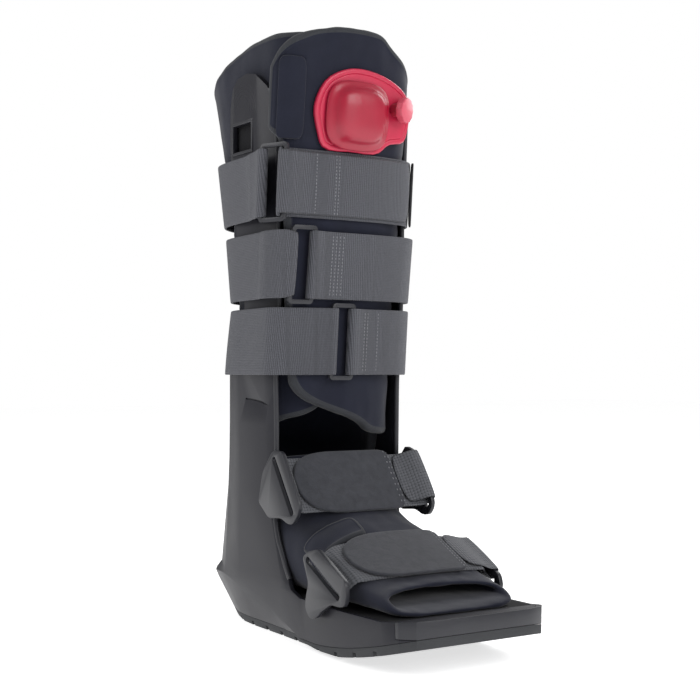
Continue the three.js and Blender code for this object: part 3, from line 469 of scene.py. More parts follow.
class Effects:
    """Shader groups that several finishes share, each built once."""

    def __init__(self) -> None:
        """Builds the groups."""
        self.ribs = self._ribs()
        self.nap = self._nap()
        self.grain = self._grain()

    def _ribs(self) -> bpy.types.NodeTree:
        """Webbing: raised ribs along one way, crossed by finer threads.

        Returns:
            The group.
        """
        sockets = {"Coordinates": None, "Rib": 1.6, "Thread": 0.9, "Slant": 0.0, "Cross": 0.5}
        tree, source, sink = new_group("webbing_ribs", sockets, ("Height", "Shade"))
        parts = add_node(tree, "ShaderNodeSeparateXYZ", {0: source.outputs["Coordinates"]}).outputs
        wobble = noise_value(tree, source, 900.0, 2.0)
        across = calc(tree, "MULTIPLY_ADD", parts[1], source.outputs["Slant"], parts[0])
        rib = calc(tree, "MULTIPLY", across, 1000.0 * math.pi)
        rib = calc(tree, "DIVIDE", rib, source.outputs["Rib"])
        rib = calc(tree, "MULTIPLY_ADD", wobble, 0.9, rib)
        rib = calc(tree, "ABSOLUTE", calc(tree, "SINE", rib))
        thread = calc(tree, "MULTIPLY", parts[1], 1000.0 * math.pi)
        thread = calc(tree, "DIVIDE", thread, source.outputs["Thread"])
        thread = calc(tree, "MULTIPLY_ADD", wobble, 0.9, thread)
        thread = calc(tree, "ABSOLUTE", calc(tree, "SINE", thread))
        crossed = calc(tree, "MULTIPLY", thread, source.outputs["Cross"])
        height = calc(tree, "ADD", rib, crossed)
        shade = calc(tree, "MULTIPLY_ADD", wobble, 0.45, calc(tree, "MULTIPLY", height, 0.55))
        tree.links.new(height, sink.inputs["Height"])
        tree.links.new(shade, sink.inputs["Shade"])
        return tree

    def _nap(self) -> bpy.types.NodeTree:
        """Brushed cloth: short fibres over soft clouds.

        Returns:
            The group.
        """
        sockets = {"Coordinates": None, "Fibre": 1400.0, "Cloud": 45.0}
        tree, source, sink = new_group("cloth_nap", sockets, ("Height", "Shade"))
        fibre = noise_value(tree, source, source.outputs["Fibre"], 4.0, Roughness=0.7)
        cloud = noise_value(tree, source, source.outputs["Cloud"], 3.0, Distortion=0.4)
        height = calc(tree, "MULTIPLY_ADD", cloud, 2.0, fibre)
        shade = calc(tree, "MULTIPLY_ADD", cloud, 0.6, calc(tree, "MULTIPLY", fibre, 0.4))
        tree.links.new(height, sink.inputs["Height"])
        tree.links.new(shade, sink.inputs["Shade"])
        return tree

    def _grain(self) -> bpy.types.NodeTree:
        """Moulded plastic: a fine spark grain and faint handling marks.

        Returns:
            The group.
        """
        sockets = {"Coordinates": None, "Grain": 1500.0, "Marks": 60.0}
        tree, source, sink = new_group("moulded_grain", sockets, ("Height", "Shade"))
        cells = add_node(
            tree,
            "ShaderNodeTexVoronoi",
            {"Vector": source.outputs["Coordinates"], "Scale": source.outputs["Grain"]},
        ).outputs["Distance"]
        marks = noise_value(tree, source, source.outputs["Marks"], 6.0, Roughness=0.65)
        shade = calc(tree, "MULTIPLY_ADD", marks, 0.8, calc(tree, "MULTIPLY", cells, 0.2))
        tree.links.new(cells, sink.inputs["Height"])
        tree.links.new(shade, sink.inputs["Shade"])
        return tree


class Lay(Enum):
    """Where a finish reads its pattern."""

    OBJECT = "Object"
    UV = "UV"


@dataclass(frozen=True)
class Finish:
    """A surface whose colour, roughness and relief come from one shared effect."""

    name: str
    effect: str
    dark: Colour
    light: Colour
    rough: tuple[float, float]
    relief: float
    depth: float
    lay: Lay = Lay.OBJECT
    sheen: float = 0.0
    coat: float = 0.0
    specular: float = 0.5
    turn: Point = (0.0, 0.0, 0.0)
    values: tuple[tuple[str, float], ...] = ()

    def build(self, effects: Effects) -> bpy.types.Material:
        """Makes the material.

        Args:
            effects: the shared shader groups.

        Returns:
            The material.
        """
        material = bpy.data.materials.new(self.name)
        material.use_nodes = True
        tree = material.node_tree
        tree.nodes.clear()
        place = tree.nodes.new("ShaderNodeTexCoord").outputs[self.lay.value]
        turned = add_node(tree, "ShaderNodeMapping", {"Vector": place, "Rotation": self.turn})
        group = tree.nodes.new("ShaderNodeGroup")
        group.node_tree = getattr(effects, self.effect)
        tree.links.new(turned.outputs[0], group.inputs["Coordinates"])
        for key, value in self.values:
            group.inputs[key].default_value = value
        colour = add_node(
            tree,
            "ShaderNodeMix",
            {"Factor": group.outputs["Shade"], 6: self.dark, 7: self.light},
            data_type="RGBA",
        )
        rough = add_node(
            tree,
            "ShaderNodeMapRange",
            {"Value": group.outputs["Shade"], "To Min": self.rough[0], "To Max": self.rough[1]},
        )
        height = self.add_relief(tree, place, group.outputs["Height"])
        bump = add_node(
            tree,
            "ShaderNodeBump",
            {"Strength": self.relief, "Distance": self.depth, "Height": height},
        )
        shader = add_node(
            tree,
            "ShaderNodeBsdfPrincipled",
            {
                "Base Color": colour.outputs[2],
                "Roughness": rough.outputs[0],
                "Normal": bump.outputs[0],
                "Sheen Weight": self.sheen,
                "Coat Weight": self.coat,
                "Specular IOR Level": self.specular,
            },
        )
        sink = tree.nodes.new("ShaderNodeOutputMaterial")
        tree.links.new(shader.outputs[0], sink.inputs[0])
        return material

    def add_relief(
        self,
        tree: bpy.types.NodeTree,
        place: bpy.types.NodeSocket,
        height: bpy.types.NodeSocket,
    ) -> bpy.types.NodeSocket:
        """Relief besides the shared effect: none for a plain finish.

        Args:
            tree: the material's node tree.
            place: the coordinates.
            height: the shared effect's height.

        Returns:
            The height to use.
        """
        del tree, place
        return height


@dataclass(frozen=True)
class ArchedShell(Finish):
    """Shell plastic with the moulded crescents in the tops of the two arches."""

    centre: tuple[float, float] = (-3 * MM, 381 * MM)
    inner: float = 9 * MM
    outer: float = 20.5 * MM
    pitch: float = 2.9 * MM
    low: float = 380 * MM

    def add_relief(
        self,
        tree: bpy.types.NodeTree,
        place: bpy.types.NodeSocket,
        height: bpy.types.NodeSocket,
    ) -> bpy.types.NodeSocket:
        """Adds crescents round a point in the side view.

        Args:
            tree: the material's node tree.
            place: the coordinates.
            height: the shared effect's height.

        Returns:
            The height with the crescents added.
        """
        parts = add_node(tree, "ShaderNodeSeparateXYZ", {0: place}).outputs
        back = calc(tree, "SUBTRACT", parts[1], self.centre[0])
        up = calc(tree, "SUBTRACT", parts[2], self.centre[1])
        squares = calc(tree, "MULTIPLY_ADD", back, back, calc(tree, "MULTIPLY", up, up))
        radius = calc(tree, "SQRT", squares)
        wave = calc(tree, "SINE", calc(tree, "MULTIPLY", radius, 2 * math.pi / self.pitch))
        inside = calc(tree, "GREATER_THAN", radius, self.inner)
        within = calc(tree, "LESS_THAN", radius, self.outer)
        above = calc(tree, "GREATER_THAN", parts[2], self.low)
        mask = calc(tree, "MULTIPLY", calc(tree, "MULTIPLY", inside, within), above)
        raised = calc(tree, "MULTIPLY", calc(tree, "MAXIMUM", wave, -0.2), mask)
        return calc(tree, "MULTIPLY_ADD", raised, 9.0, height)


@dataclass(frozen=True)
class Finishes:
    """Every finish of the boot."""

    shell: ArchedShell = ArchedShell(
        "shell_plastic", "grain", (0.011, 0.011, 0.015), (0.021, 0.021, 0.027),
        (0.32, 0.46), 0.25, 0.06 * MM, specular=0.22,
    )
    hardware: Finish = Finish(
        "hardware_plastic", "grain", (0.016, 0.016, 0.020), (0.030, 0.031, 0.037),
        (0.3, 0.44), 0.22, 0.05 * MM, specular=0.34,
    )
    outsole: Finish = Finish(
        "outsole_rubber", "grain", (0.015, 0.016, 0.019), (0.032, 0.034, 0.038),
        (0.62, 0.8), 0.4, 0.1 * MM, values=(("Grain", 900.0),),
    )
    footbed: Finish = Finish(
        "footbed_foam", "grain", (0.002, 0.002, 0.003), (0.006, 0.006, 0.007),
        (0.75, 0.92), 0.5, 0.15 * MM, specular=0.25, values=(("Grain", 1100.0),),
    )
    liner: Finish = Finish(
        "liner_cloth", "nap", (0.005, 0.006, 0.012), (0.018, 0.020, 0.035),
        (0.85, 0.98), 0.45, 0.16 * MM, sheen=0.16, specular=0.15,
    )
    binding: Finish = Finish(
        "binding_tape", "ribs", (0.014, 0.015, 0.018), (0.034, 0.036, 0.042),
        (0.8, 0.95), 0.5, 0.14 * MM, sheen=0.12, specular=0.25,
        values=(("Rib", 0.8), ("Thread", 0.8)),
    )
    webbing: Finish = Finish(
        "webbing", "ribs", (0.009, 0.010, 0.013), (0.088, 0.090, 0.105),
        (0.6, 0.8), 0.9, 0.35 * MM, lay=Lay.UV, sheen=0.08, specular=0.35,
        values=(("Rib", 1.9), ("Thread", 1.2), ("Slant", 0.12), ("Cross", 0.35)),
    )
    grid: Finish = Finish(
        "grid_webbing", "ribs", (0.010, 0.011, 0.013), (0.095, 0.098, 0.110),
        (0.6, 0.8), 0.9, 0.35 * MM, sheen=0.08, specular=0.35,
        turn=(math.radians(-40), 0.0, 0.0),
        values=(("Rib", 2.2), ("Thread", 2.2), ("Cross", 1.0)),
    )
    felt: Finish = Finish(
        "felt_pad", "nap", (0.018, 0.019, 0.023), (0.064, 0.066, 0.077),
        (0.9, 1.0), 0.6, 0.22 * MM, sheen=0.18, specular=0.15,
        values=(("Fibre", 1300.0), ("Cloud", 160.0)),
    )
    hook: Finish = Finish(
        "hook_tape", "ribs", (0.002, 0.002, 0.003), (0.014, 0.014, 0.016),
        (0.8, 0.95), 0.9, 0.4 * MM, specular=0.2,
        values=(("Rib", 1.7), ("Thread", 1.7), ("Cross", 1.0)),
    )
    pump: Finish = Finish(
        "crimson_rubber", "grain", (0.400, 0.009, 0.040), (0.540, 0.020, 0.066),
        (0.3, 0.42), 0.15, 0.04 * MM, coat=0.1,
    )
    # Darker crimson for the faces inside the pump plate's groove: painted shade in the recess.
    groove: Finish = Finish(
        "crimson_groove_painted_shade", "grain", (0.150, 0.003, 0.014), (0.200, 0.006, 0.022),
        (0.4, 0.5), 0.15, 0.04 * MM,
    )
    bulb: Finish = Finish(
        "crimson_bulb", "grain", (0.260, 0.004, 0.020), (0.370, 0.009, 0.034),
        (0.3, 0.42), 0.15, 0.04 * MM, coat=0.08,
    )
    knob: Finish = Finish(
        "crimson_knob", "grain", (0.480, 0.050, 0.090), (0.620, 0.085, 0.130),
        (0.32, 0.42), 0.15, 0.04 * MM, coat=0.1,
    )
    thread: Finish = Finish(
        "sewing_thread", "nap", (0.12, 0.122, 0.135), (0.26, 0.265, 0.285),
        (0.6, 0.8), 0.3, 0.05 * MM, specular=0.4,
    )


class Wardrobe:
    """Makes each finish's material once, when it is first used."""

    def __init__(self) -> None:
        """Builds the shared effects."""
        self.effects = Effects()
        self.finishes = Finishes()
        self.made: dict[str, bpy.types.Material] = {}

    def get(self, key: str) -> bpy.types.Material:
        """The material of a finish.

        Args:
            key: the finish's field in Finishes.

        Returns:
            The material.
        """
        if key not in self.made:
            self.made[key] = getattr(self.finishes, key).build(self.effects)
        return self.made[key]

    def dress(self, piece: bpy.types.Object, *keys: str) -> None:
        """Gives a piece its materials in slot order.

        Args:
            piece: the object.
            keys: the finishes' fields in Finishes.
        """
        piece.data.materials.clear()
        for key in keys:
            piece.data.materials.append(self.get(key))


# Hard pieces


@dataclass
class Mouldings:
    """Hard plastic pieces: their edges are rounded as a mould leaves them."""

    wardrobe: Wardrobe
    edge: float = 0.8 * MM
    small_edge: float = 0.45 * MM
    tape_edge: float = 0.3 * MM
    sharp: float = 28.0
    roll_low: float = 44 * MM
    roll_high: float = 392 * MM
    roll_steps: int = 58
    roll_radius: float = 1.9 * MM
    roll_side: float = 30 * MM
    roll_band: float = 1.2 * MM
    roll_sink: float = 0.5 * MM
    rim_out: float = 4.3 * MM
    rim_inside: float = 0.5 * MM
    rim_width: float = 2.2 * MM
    rim_thick: float = 1.6 * MM
    ear_corner: float = 3.2 * MM
    corner_turn: float = 16.0
    corner_room: float = 3 * MM

    def rounded(self, node: str, name: str, width: float, corner: float = 0.0) -> bpy.types.Object:
        """A copy of a CAD node with rounded edges.

        Args:
            node: the CAD node.
            name: the new piece's name.
            width: the width of the rounding.
            corner: the rounding of the corners of a plate's outline, seen from its side.

        Returns:
            The new piece.
        """
        piece = copy_node(node, name)
        with editing(piece):
            bpy.ops.mesh.dissolve_limited(angle_limit=FLAT_ANGLE)
            if corner > 0:
                mesh = bmesh.from_edit_mesh(piece.data)
                corners = [
                    edge for edge in mesh.edges
                    if abs((edge.verts[0].co - edge.verts[1].co).normalized().x) > 0.99
                    and edge.calc_face_angle(0.0) > math.radians(self.corner_turn)
                    and min(len_of(e) for v in edge.verts for e in v.link_edges if e is not edge)
                    > self.corner_room
                ]
                bmesh.ops.bevel(
                    mesh, geom=corners, offset=corner, offset_type="OFFSET", segments=4,
                    profile=0.5, affect="EDGES", clamp_overlap=True,
                )
                bmesh.update_edit_mesh(piece.data)
        finish_modifier(
            piece,
            "BEVEL",
            width=width,
            segments=2,
            limit_method="ANGLE",
            angle_limit=math.radians(self.sharp),
            use_clamp_overlap=True,
        )
        smooth(piece, 34.0)
        return piece

    def build(self) -> None:
        """Makes the shell, its bumper, the rings, the ears, the sole and the footbed."""
        jobs = [("shell", "shell", self.edge), ("toe_bumper", "hardware", self.small_edge)]
        for name in ("ring_top", "ring_mid", "ring_low"):
            jobs.append((name, "hardware", self.small_edge))
        for place in ("ankle_near", "ankle_far", "toe_near", "toe_far"):
            jobs.append((f"ear_{place}", "hardware", self.small_edge))
        for node, finish, width in jobs:
            corner = self.ear_corner if node.startswith("ear") else 0.0
            piece = self.rounded(node, f"{node}_moulded", width, corner)
            self.wardrobe.dress(piece, finish)
            settle(piece, BODY, "shell", node)
        for node, finish in (("outsole", "outsole"), ("footbed", "footbed")):
            piece = self.rounded(node, f"{node}_moulded", self.small_edge)
            self.wardrobe.dress(piece, finish)
            settle(piece, BODY, node, node)
        for sign in (-1, 1):
            self.edge_roll(sign)
        for side in ("near", "far"):
            self.window_frame(side)
            node = f"window_patch_{side}"
            piece = self.rounded(node, f"{node}_tape", self.tape_edge)
            self.wardrobe.dress(piece, "hook")
            settle(piece, BODY, "hook", node)

    def edge_roll(self, sign: int) -> None:
        """The rolled front edge of an upright, from its arch down to the foot.

        Args:
            sign: -1 for the near side, 1 for the far side.
        """
        mesh = bmesh.new()
        mesh.from_mesh(bpy.data.objects["shell_moulded"].data)
        path: list[Vector] = []
        for step in range(self.roll_steps + 1):
            height = self.roll_low + (self.roll_high - self.roll_low) * step / self.roll_steps
            slice_mesh = mesh.copy()
            cut = bmesh.ops.bisect_plane(
                slice_mesh,
                geom=[*slice_mesh.verts, *slice_mesh.edges, *slice_mesh.faces],
                plane_co=(0.0, 0.0, height),
                plane_no=(0.0, 0.0, 1.0),
            )["geom_cut"]
            points = [v.co for v in cut if isinstance(v, bmesh.types.BMVert)]
            line = [co for co in points if co.x * sign > self.roll_side]
            if line:
                front = min(co.y for co in line)
                edge = [co for co in line if co.y < front + self.roll_band]
                middle = sum(edge, Vector()) / len(edge)
                path.append(Vector((middle.x, front + self.roll_sink, height)))
            slice_mesh.free()
        mesh.free()
        curve = bpy.data.curves.new(f"edge_roll_{sign}", "CURVE")
        curve.dimensions = "3D"
        curve.bevel_depth = self.roll_radius
        curve.bevel_resolution = 3
        curve.use_fill_caps = True
        line = curve.splines.new("NURBS")
        line.points.add(len(path) - 1)
        for point, place in zip(line.points, path):
            point.co = (*place, 1.0)
        line.order_u = 4
        line.use_endpoint_u = True
        line.resolution_u = 3
        piece = bpy.data.objects.new(f"edge_roll_{'near' if sign < 0 else 'far'}", curve)
        bpy.context.scene.collection.objects.link(piece)
        select_only(piece)
        bpy.ops.object.convert(target="MESH")
        smooth(piece, 60.0)
        self.wardrobe.dress(piece, "hardware")
        settle(piece, BODY, "shell")

    def window_frame(self, side: str) -> None:
        """A raised rim round the window in an upright.

        Args:
            side: near or far.
        """
        low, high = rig.box(f"window_patch_{side}")
        inside = 2 * self.rim_inside
        sign = -1.0 if side == "near" else 1.0
        face = (low.x if side == "near" else high.x) + sign * self.rim_out
        middle = (low + high) / 2
        bpy.ops.object.select_all(action="DESELECT")
        bpy.ops.mesh.primitive_plane_add(
            size=1.0,
            location=(face, middle.y, middle.z),
            rotation=(0.0, math.radians(90), 0.0),
        )
        piece = bpy.context.object
        piece.name = f"window_rim_{side}"
        bpy.ops.object.transform_apply(location=False, rotation=True, scale=False)
        piece.scale = (1.0, high.y - low.y - inside, high.z - low.z - inside)
        bpy.ops.object.transform_apply(location=True, rotation=True, scale=True)
        with editing(piece):
            bpy.ops.mesh.inset(thickness=self.rim_width)
            bpy.ops.mesh.delete(type="FACE")
        finish_modifier(piece, "SOLIDIFY", thickness=self.rim_thick, offset=0.0)
        finish_modifier(piece, "BEVEL", width=0.5 * MM, segments=2)
        smooth(piece, 40.0)
        self.wardrobe.dress(piece, "hardware")
        settle(piece, BODY, "shell")


# Padded and woven pieces


@dataclass
class SoftWall:
    """A cloth or foam wall copied from its CAD solid, then edged, rounded and shaped."""

    node: str
    name: str
    slot: str
    wardrobe: Wardrobe
    cloth: str = "liner"
    edging: str = "binding"
    border: float = 5.0 * MM
    raised: float = 0.45 * MM
    levels: int = 3
    sharp: float = 42.0

    def build(self) -> bpy.types.Object:
        """Makes the wall with its edging, before any shaping.

        Returns:
            The new piece, not yet handed to the frame.
        """
        piece = copy_node(self.node, self.name)
        with editing(piece):
            bpy.ops.mesh.tris_convert_to_quads(
                face_threshold=math.radians(60),
                shape_threshold=math.radians(80),
            )
        skins = set().union(*flat_areas(piece, self.sharp)[:2])
        self.wardrobe.dress(piece, self.cloth, self.edging)
        for polygon in piece.data.polygons:
            polygon.material_index = 0 if polygon.index in skins else 1
        with editing(piece):
            select_faces(piece, lambda face: face.material_index == 0)
            bpy.ops.mesh.inset(thickness=self.border, depth=0.0, use_even_offset=True)
            mesh = bmesh.from_edit_mesh(piece.data)
            for face in mesh.faces:
                face.material_index = 0 if face.select else 1
            bmesh.update_edit_mesh(piece.data)
            if self.raised > 0:
                select_faces(piece, lambda face: face.material_index == 1)
                bpy.ops.mesh.extrude_region_shrink_fatten(
                    TRANSFORM_OT_shrink_fatten={"value": self.raised},
                )
        finish_modifier(piece, "SUBSURF", levels=self.levels, render_levels=self.levels)
        smooth(piece)
        return piece


def shape(piece: bpy.types.Object, move: Callable[[Vector, Vector], float], clear: BVHTree) -> None:
    """Moves a surface along its normals, short of its neighbours.

    Args:
        piece: the piece to shape.
        move: the distance wanted at a point, from its place and normal.
        clear: what the surface stays clear of.
    """
    mesh = piece.data
    normals = [v.normal.copy() for v in mesh.vertices]
    for vertex, normal in zip(mesh.vertices, normals):
        wanted = move(vertex.co, normal)
        if wanted > 0:
            hit = clear.ray_cast(vertex.co, normal, wanted + CLEARANCE)
            if hit[0] is not None:
                wanted = max(0.0, min(wanted, hit[3] - CLEARANCE))
        vertex.co += normal * wanted
    mesh.update()


@dataclass
class Liner:
    """The padded liner: leg wall, shin flap, foot and the small flap on it."""

    wardrobe: Wardrobe
    puff: float = 1.6 * MM
    wrinkle: float = 0.9 * MM
    fold_scale: Point = (42.0, 42.0, 26.0)
    fine_scale: Point = (110.0, 110.0, 60.0)
    held_from: float = 0.9
    held_over: float = 0.35
    search: float = 6 * MM
    spare: float = 0.4 * MM
    least: float = 0.2 * MM

    def __post_init__(self) -> None:
        """Reads where the calf straps hold the padding down."""
        self.straps = [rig.box(f"strap_calf_{name}") for name in ("top", "mid", "low")]

    def build(self) -> None:
        """Makes and shapes the liner's pieces."""
        hard = [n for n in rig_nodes() if n.startswith(("ring", "ear", "strap", "shell", "tongue"))]
        around = tree_of(*hard, "pump_plate", "closure_strip")
        for node, border in (
            ("liner_leg", 4.0 * MM),
            ("liner_front_flap", 4.2 * MM),
            ("liner_foot", 4.5 * MM),
            ("liner_foot_flap", 1.8 * MM),
        ):
            levels = 2 if node == "liner_foot_flap" else 3
            wall = SoftWall(
                node, f"{node}_padded", "liner", self.wardrobe, border=border, levels=levels,
            )
            piece = wall.build()
            others = [n for n in ("liner_leg", "liner_front_flap", "liner_foot") if n != node]
            near = tree_of(*others)
            shape(piece, lambda p, n: min(self.swell(p), self.least + self.room(p, n, near)), around)
            settle(piece, BODY, "liner", node)
            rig.padded(piece, fill=0.6)
        self.closure()

    def room(self, place: Vector, normal: Vector, near: BVHTree) -> float:
        """How far a point may move out before it meets another liner piece.

        Args:
            place: the point.
            normal: the way it moves.
            near: the other liner pieces.

        Returns:
            The free distance.
        """
        hit = near.ray_cast(place, normal, self.search)
        return self.puff * 2 if hit[0] is None else max(0.0, hit[3] - self.spare)

    def swell(self, place: Vector) -> float:
        """How far the padding stands out at a point.

        Args:
            place: the point.

        Returns:
            The distance along the normal.
        """
        held = 1.0
        for low, high in self.straps:
            middle = (low.z + high.z) / 2
            reach = abs(place.z - middle) / ((high.z - low.z) / 2)
            held = min(held, max(0.0, min(1.0, (reach - self.held_from) / self.held_over)))
        folds = noise.noise(place * Vector(self.fold_scale))
        fine = noise.noise(place * Vector(self.fine_scale) + Vector((0.0, 0.0, 7.0)))
        lift = self.puff * 0.5 + self.wrinkle * (folds + 0.4 * fine)
        return lift * held

    def closure(self) -> None:
        """The soft strip that closes the flap's edge, beside the pump."""
        wall = SoftWall(
            "closure_strip", "closure_strip_sewn", "binding", self.wardrobe,
            cloth="liner", edging="liner", border=1.6 * MM, raised=0.0, levels=2,
        )
        settle(wall.build(), BODY, "binding", "closure_strip")


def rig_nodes() -> list[str]:
    """Names of the CAD nodes.

    Returns:
        The names.
    """
    return [o.name for o in bpy.data.objects if o.get("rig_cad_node")]


@dataclass
class LegUnroll:
    """Distances round the leg, read from a strap's own outline."""

    node: str
    bins: int = 180

    def __post_init__(self) -> None:
        """Measures the outline of the strap's outer face."""
        reach = [0.0] * self.bins
        for vertex in bpy.data.objects[self.node].data.vertices:
            slot = self.slot_of(vertex.co)
            reach[slot] = max(reach[slot], math.hypot(vertex.co.x, vertex.co.y))
        known = [i for i, r in enumerate(reach) if r > 0]
        for i in range(self.bins):
            if reach[i] == 0:
                before = max((k for k in known if k < i), default=known[-1] - self.bins)
                after = min((k for k in known if k > i), default=known[0] + self.bins)
                share = (i - before) / (after - before)
                reach[i] = (1 - share) * reach[before % self.bins] + share * reach[after % self.bins]
        self.along = [0.0]
        step = 2 * math.pi / self.bins
        for i in range(self.bins):
            a, b = reach[i], reach[(i + 1) % self.bins]
            self.along.append(self.along[-1] + math.sqrt(a * a + b * b - 2 * a * b * math.cos(step)))

    def turn_of(self, place: Vector) -> float:
        """Share of a turn round the leg, from the back.

        Args:
            place: the point.

        Returns:
            A number from 0 to 1.
        """
        return (math.atan2(place.x, -place.y) / (2 * math.pi) + 0.5) % 1.0

    def slot_of(self, place: Vector) -> int:
        """The outline's bin that a point falls in.

        Args:
            place: the point.

        Returns:
            The bin's number.
        """
        return min(int(self.turn_of(place) * self.bins), self.bins - 1)

    def distance(self, place: Vector) -> float:
        """Distance round the leg to a point.

        Args:
            place: the point.

        Returns:
            Metres from the back.
        """
        at = self.turn_of(place) * self.bins
        i = min(int(at), self.bins - 1)
        return self.along[i] + (at - i) * (self.along[i + 1] - self.along[i])


def lay_uv(piece: bpy.types.Object, unroll: LegUnroll) -> None:
    """Writes a strap's UV map in metres: round the leg and up it.

    Args:
        piece: the strap.
        unroll: the distances round the leg.
    """
    mesh = piece.data
    layer = mesh.uv_layers.new(name="lay")
    whole = unroll.along[-1]
    for face in mesh.polygons:
        places = [mesh.vertices[i].co for i in face.vertices]
        rounds = [unroll.distance(place) for place in places]
        for loop, place, distance in zip(face.loop_indices, places, rounds):
            past_seam = max(rounds) - distance > whole / 2
            layer.data[loop].uv = (distance + whole if past_seam else distance, place.z)


@dataclass
class Stitches:
    """Rows of short threads laid on a surface."""

    wardrobe: Wardrobe
    length: float = 1.7 * MM
    pitch: float = 2.6 * MM
    thick: float = 0.42 * MM
    reach: float = 60 * MM

    def row(self, name: str, onto: str, start: Vector, end: Vector, down: Vector, slot: str) -> None:
        """One row of stitches between two points.

        Args:
            name: the piece's name.
            onto: the object that carries the row.
            start: a point off the surface at one end.
            end: a point off the surface at the other end.
            down: the way from those points to the surface.
            slot: the record's material slot.
        """
        surface = tree_of(onto)
        bpy.ops.object.select_all(action="DESELECT")
        bpy.ops.mesh.primitive_uv_sphere_add(segments=6, ring_count=4, radius=1.0)
        seed = bpy.context.object
        points: list[Vector] = []
        faces: list[tuple[int, ...]] = []
        count = max(1, round((end - start).length / self.pitch))
        for i in range(count):
            found = [
                surface.ray_cast(start.lerp(end, (i + share) / count), down, self.reach)
                for share in (0.5, 0.55)
            ]
            if found[0][0] is None or found[1][0] is None:
                continue
            along = (found[1][0] - found[0][0]).normalized()
            out = found[0][1] if found[0][1].dot(down) < 0 else -found[0][1]
            side = along.cross(out).normalized()
            turn = Matrix((side, out, along)).transposed()
            size = Matrix.Diagonal((self.thick, self.thick, self.length / 2))
            offset = len(points)
            points += [found[0][0] + turn @ (size @ v.co) for v in seed.data.vertices]
            faces += [tuple(k + offset for k in p.vertices) for p in seed.data.polygons]
        bpy.data.objects.remove(seed)
        if not points:
            return
        piece = new_mesh(name, points, faces)
        smooth(piece)
        self.wardrobe.dress(piece, "thread")
        settle(piece, BODY, slot)


@dataclass
class Straps:
    """Calf straps with their hook tab, foot straps and the felt under them."""

    wardrobe: Wardrobe
    selvedge: float = 1.3 * MM
    stand_off: float = 5 * MM
    seam_margin: float = 2.5 * MM
    felt_stand_off: float = 20 * MM
    felt_margin: float = 2 * MM

    def build(self) -> None:
        """Makes the straps, the tab, the felt pads and the seams."""
        for name in ("top", "mid", "low"):
            node = f"strap_calf_{name}"
            unroll = LegUnroll(node)
            wall = SoftWall(
                node, f"{node}_woven", "webbing", self.wardrobe,
                cloth="webbing", edging="webbing", border=self.selvedge, raised=0.0, levels=2,
            )
            piece = wall.build()
            lay_uv(piece, unroll)
            settle(piece, BODY, "webbing", node)
        self.hook_tab()
        for name in ("ankle", "toe"):
            node = f"strap_{name}"
            wall = SoftWall(
                node, f"{node}_woven", "webbing", self.wardrobe,
                cloth="grid", edging="grid", border=self.selvedge, raised=0.0, levels=2,
            )
            settle(wall.build(), BODY, "webbing", node)
            node = f"tongue_{name}"
            wall = SoftWall(
                node, f"{node}_felt", "felt", self.wardrobe,
                cloth="felt", edging="felt", border=1.6 * MM, raised=0.0, levels=2,
            )
            piece = wall.build()
            settle(piece, BODY, "felt", node)
            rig.padded(piece, fill=0.4)
        self.seams()

    def hook_tab(self) -> None:
        """The hook tape on the end of the top strap."""
        wall = SoftWall(
            "hook_tab_top", "hook_tab_sewn", "hook", self.wardrobe,
            cloth="hook", edging="hook", border=0.8 * MM, raised=0.0, levels=1,
        )
        settle(wall.build(), BODY, "hook", "hook_tab_top")

    def seams(self) -> None:
        """Sewn rows across the webbing where its folded ends are fixed."""
        stitches = Stitches(self.wardrobe)
        rows = {
            "top": (-38.0, -22.0, -19.5),
            "mid": (-22.0, -19.0, -16.0, -13.0),
            "low": (9.0, 12.0, 22.0),
        }
        ahead = Vector((0.0, 1.0, 0.0))
        for name, places in rows.items():
            low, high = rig.box(f"strap_calf_{name}")
            for k, x in enumerate(places):
                start = Vector((x * MM, low.y - self.stand_off, low.z + self.seam_margin))
                end = Vector((x * MM, low.y - self.stand_off, high.z - self.seam_margin))
                stitches.row(
                    f"seam_{name}_{k + 1}", f"strap_calf_{name}_woven", start, end, ahead, "webbing",
                )
        for name in ("ankle", "toe"):
            low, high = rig.box(f"tongue_{name}")
            for k, inset in enumerate((1.6, 4.2)):
                x = high.x - inset * MM
                start = Vector((x, low.y + self.felt_margin, high.z + self.felt_stand_off))
                end = Vector((x, high.y - self.felt_margin, high.z + self.felt_stand_off))
                stitches.row(
                    f"seam_{name}_{k + 1}", f"tongue_{name}_felt", start, end,
                    Vector((0.0, 0.0, -1.0)), "felt",
                )


# Air pump


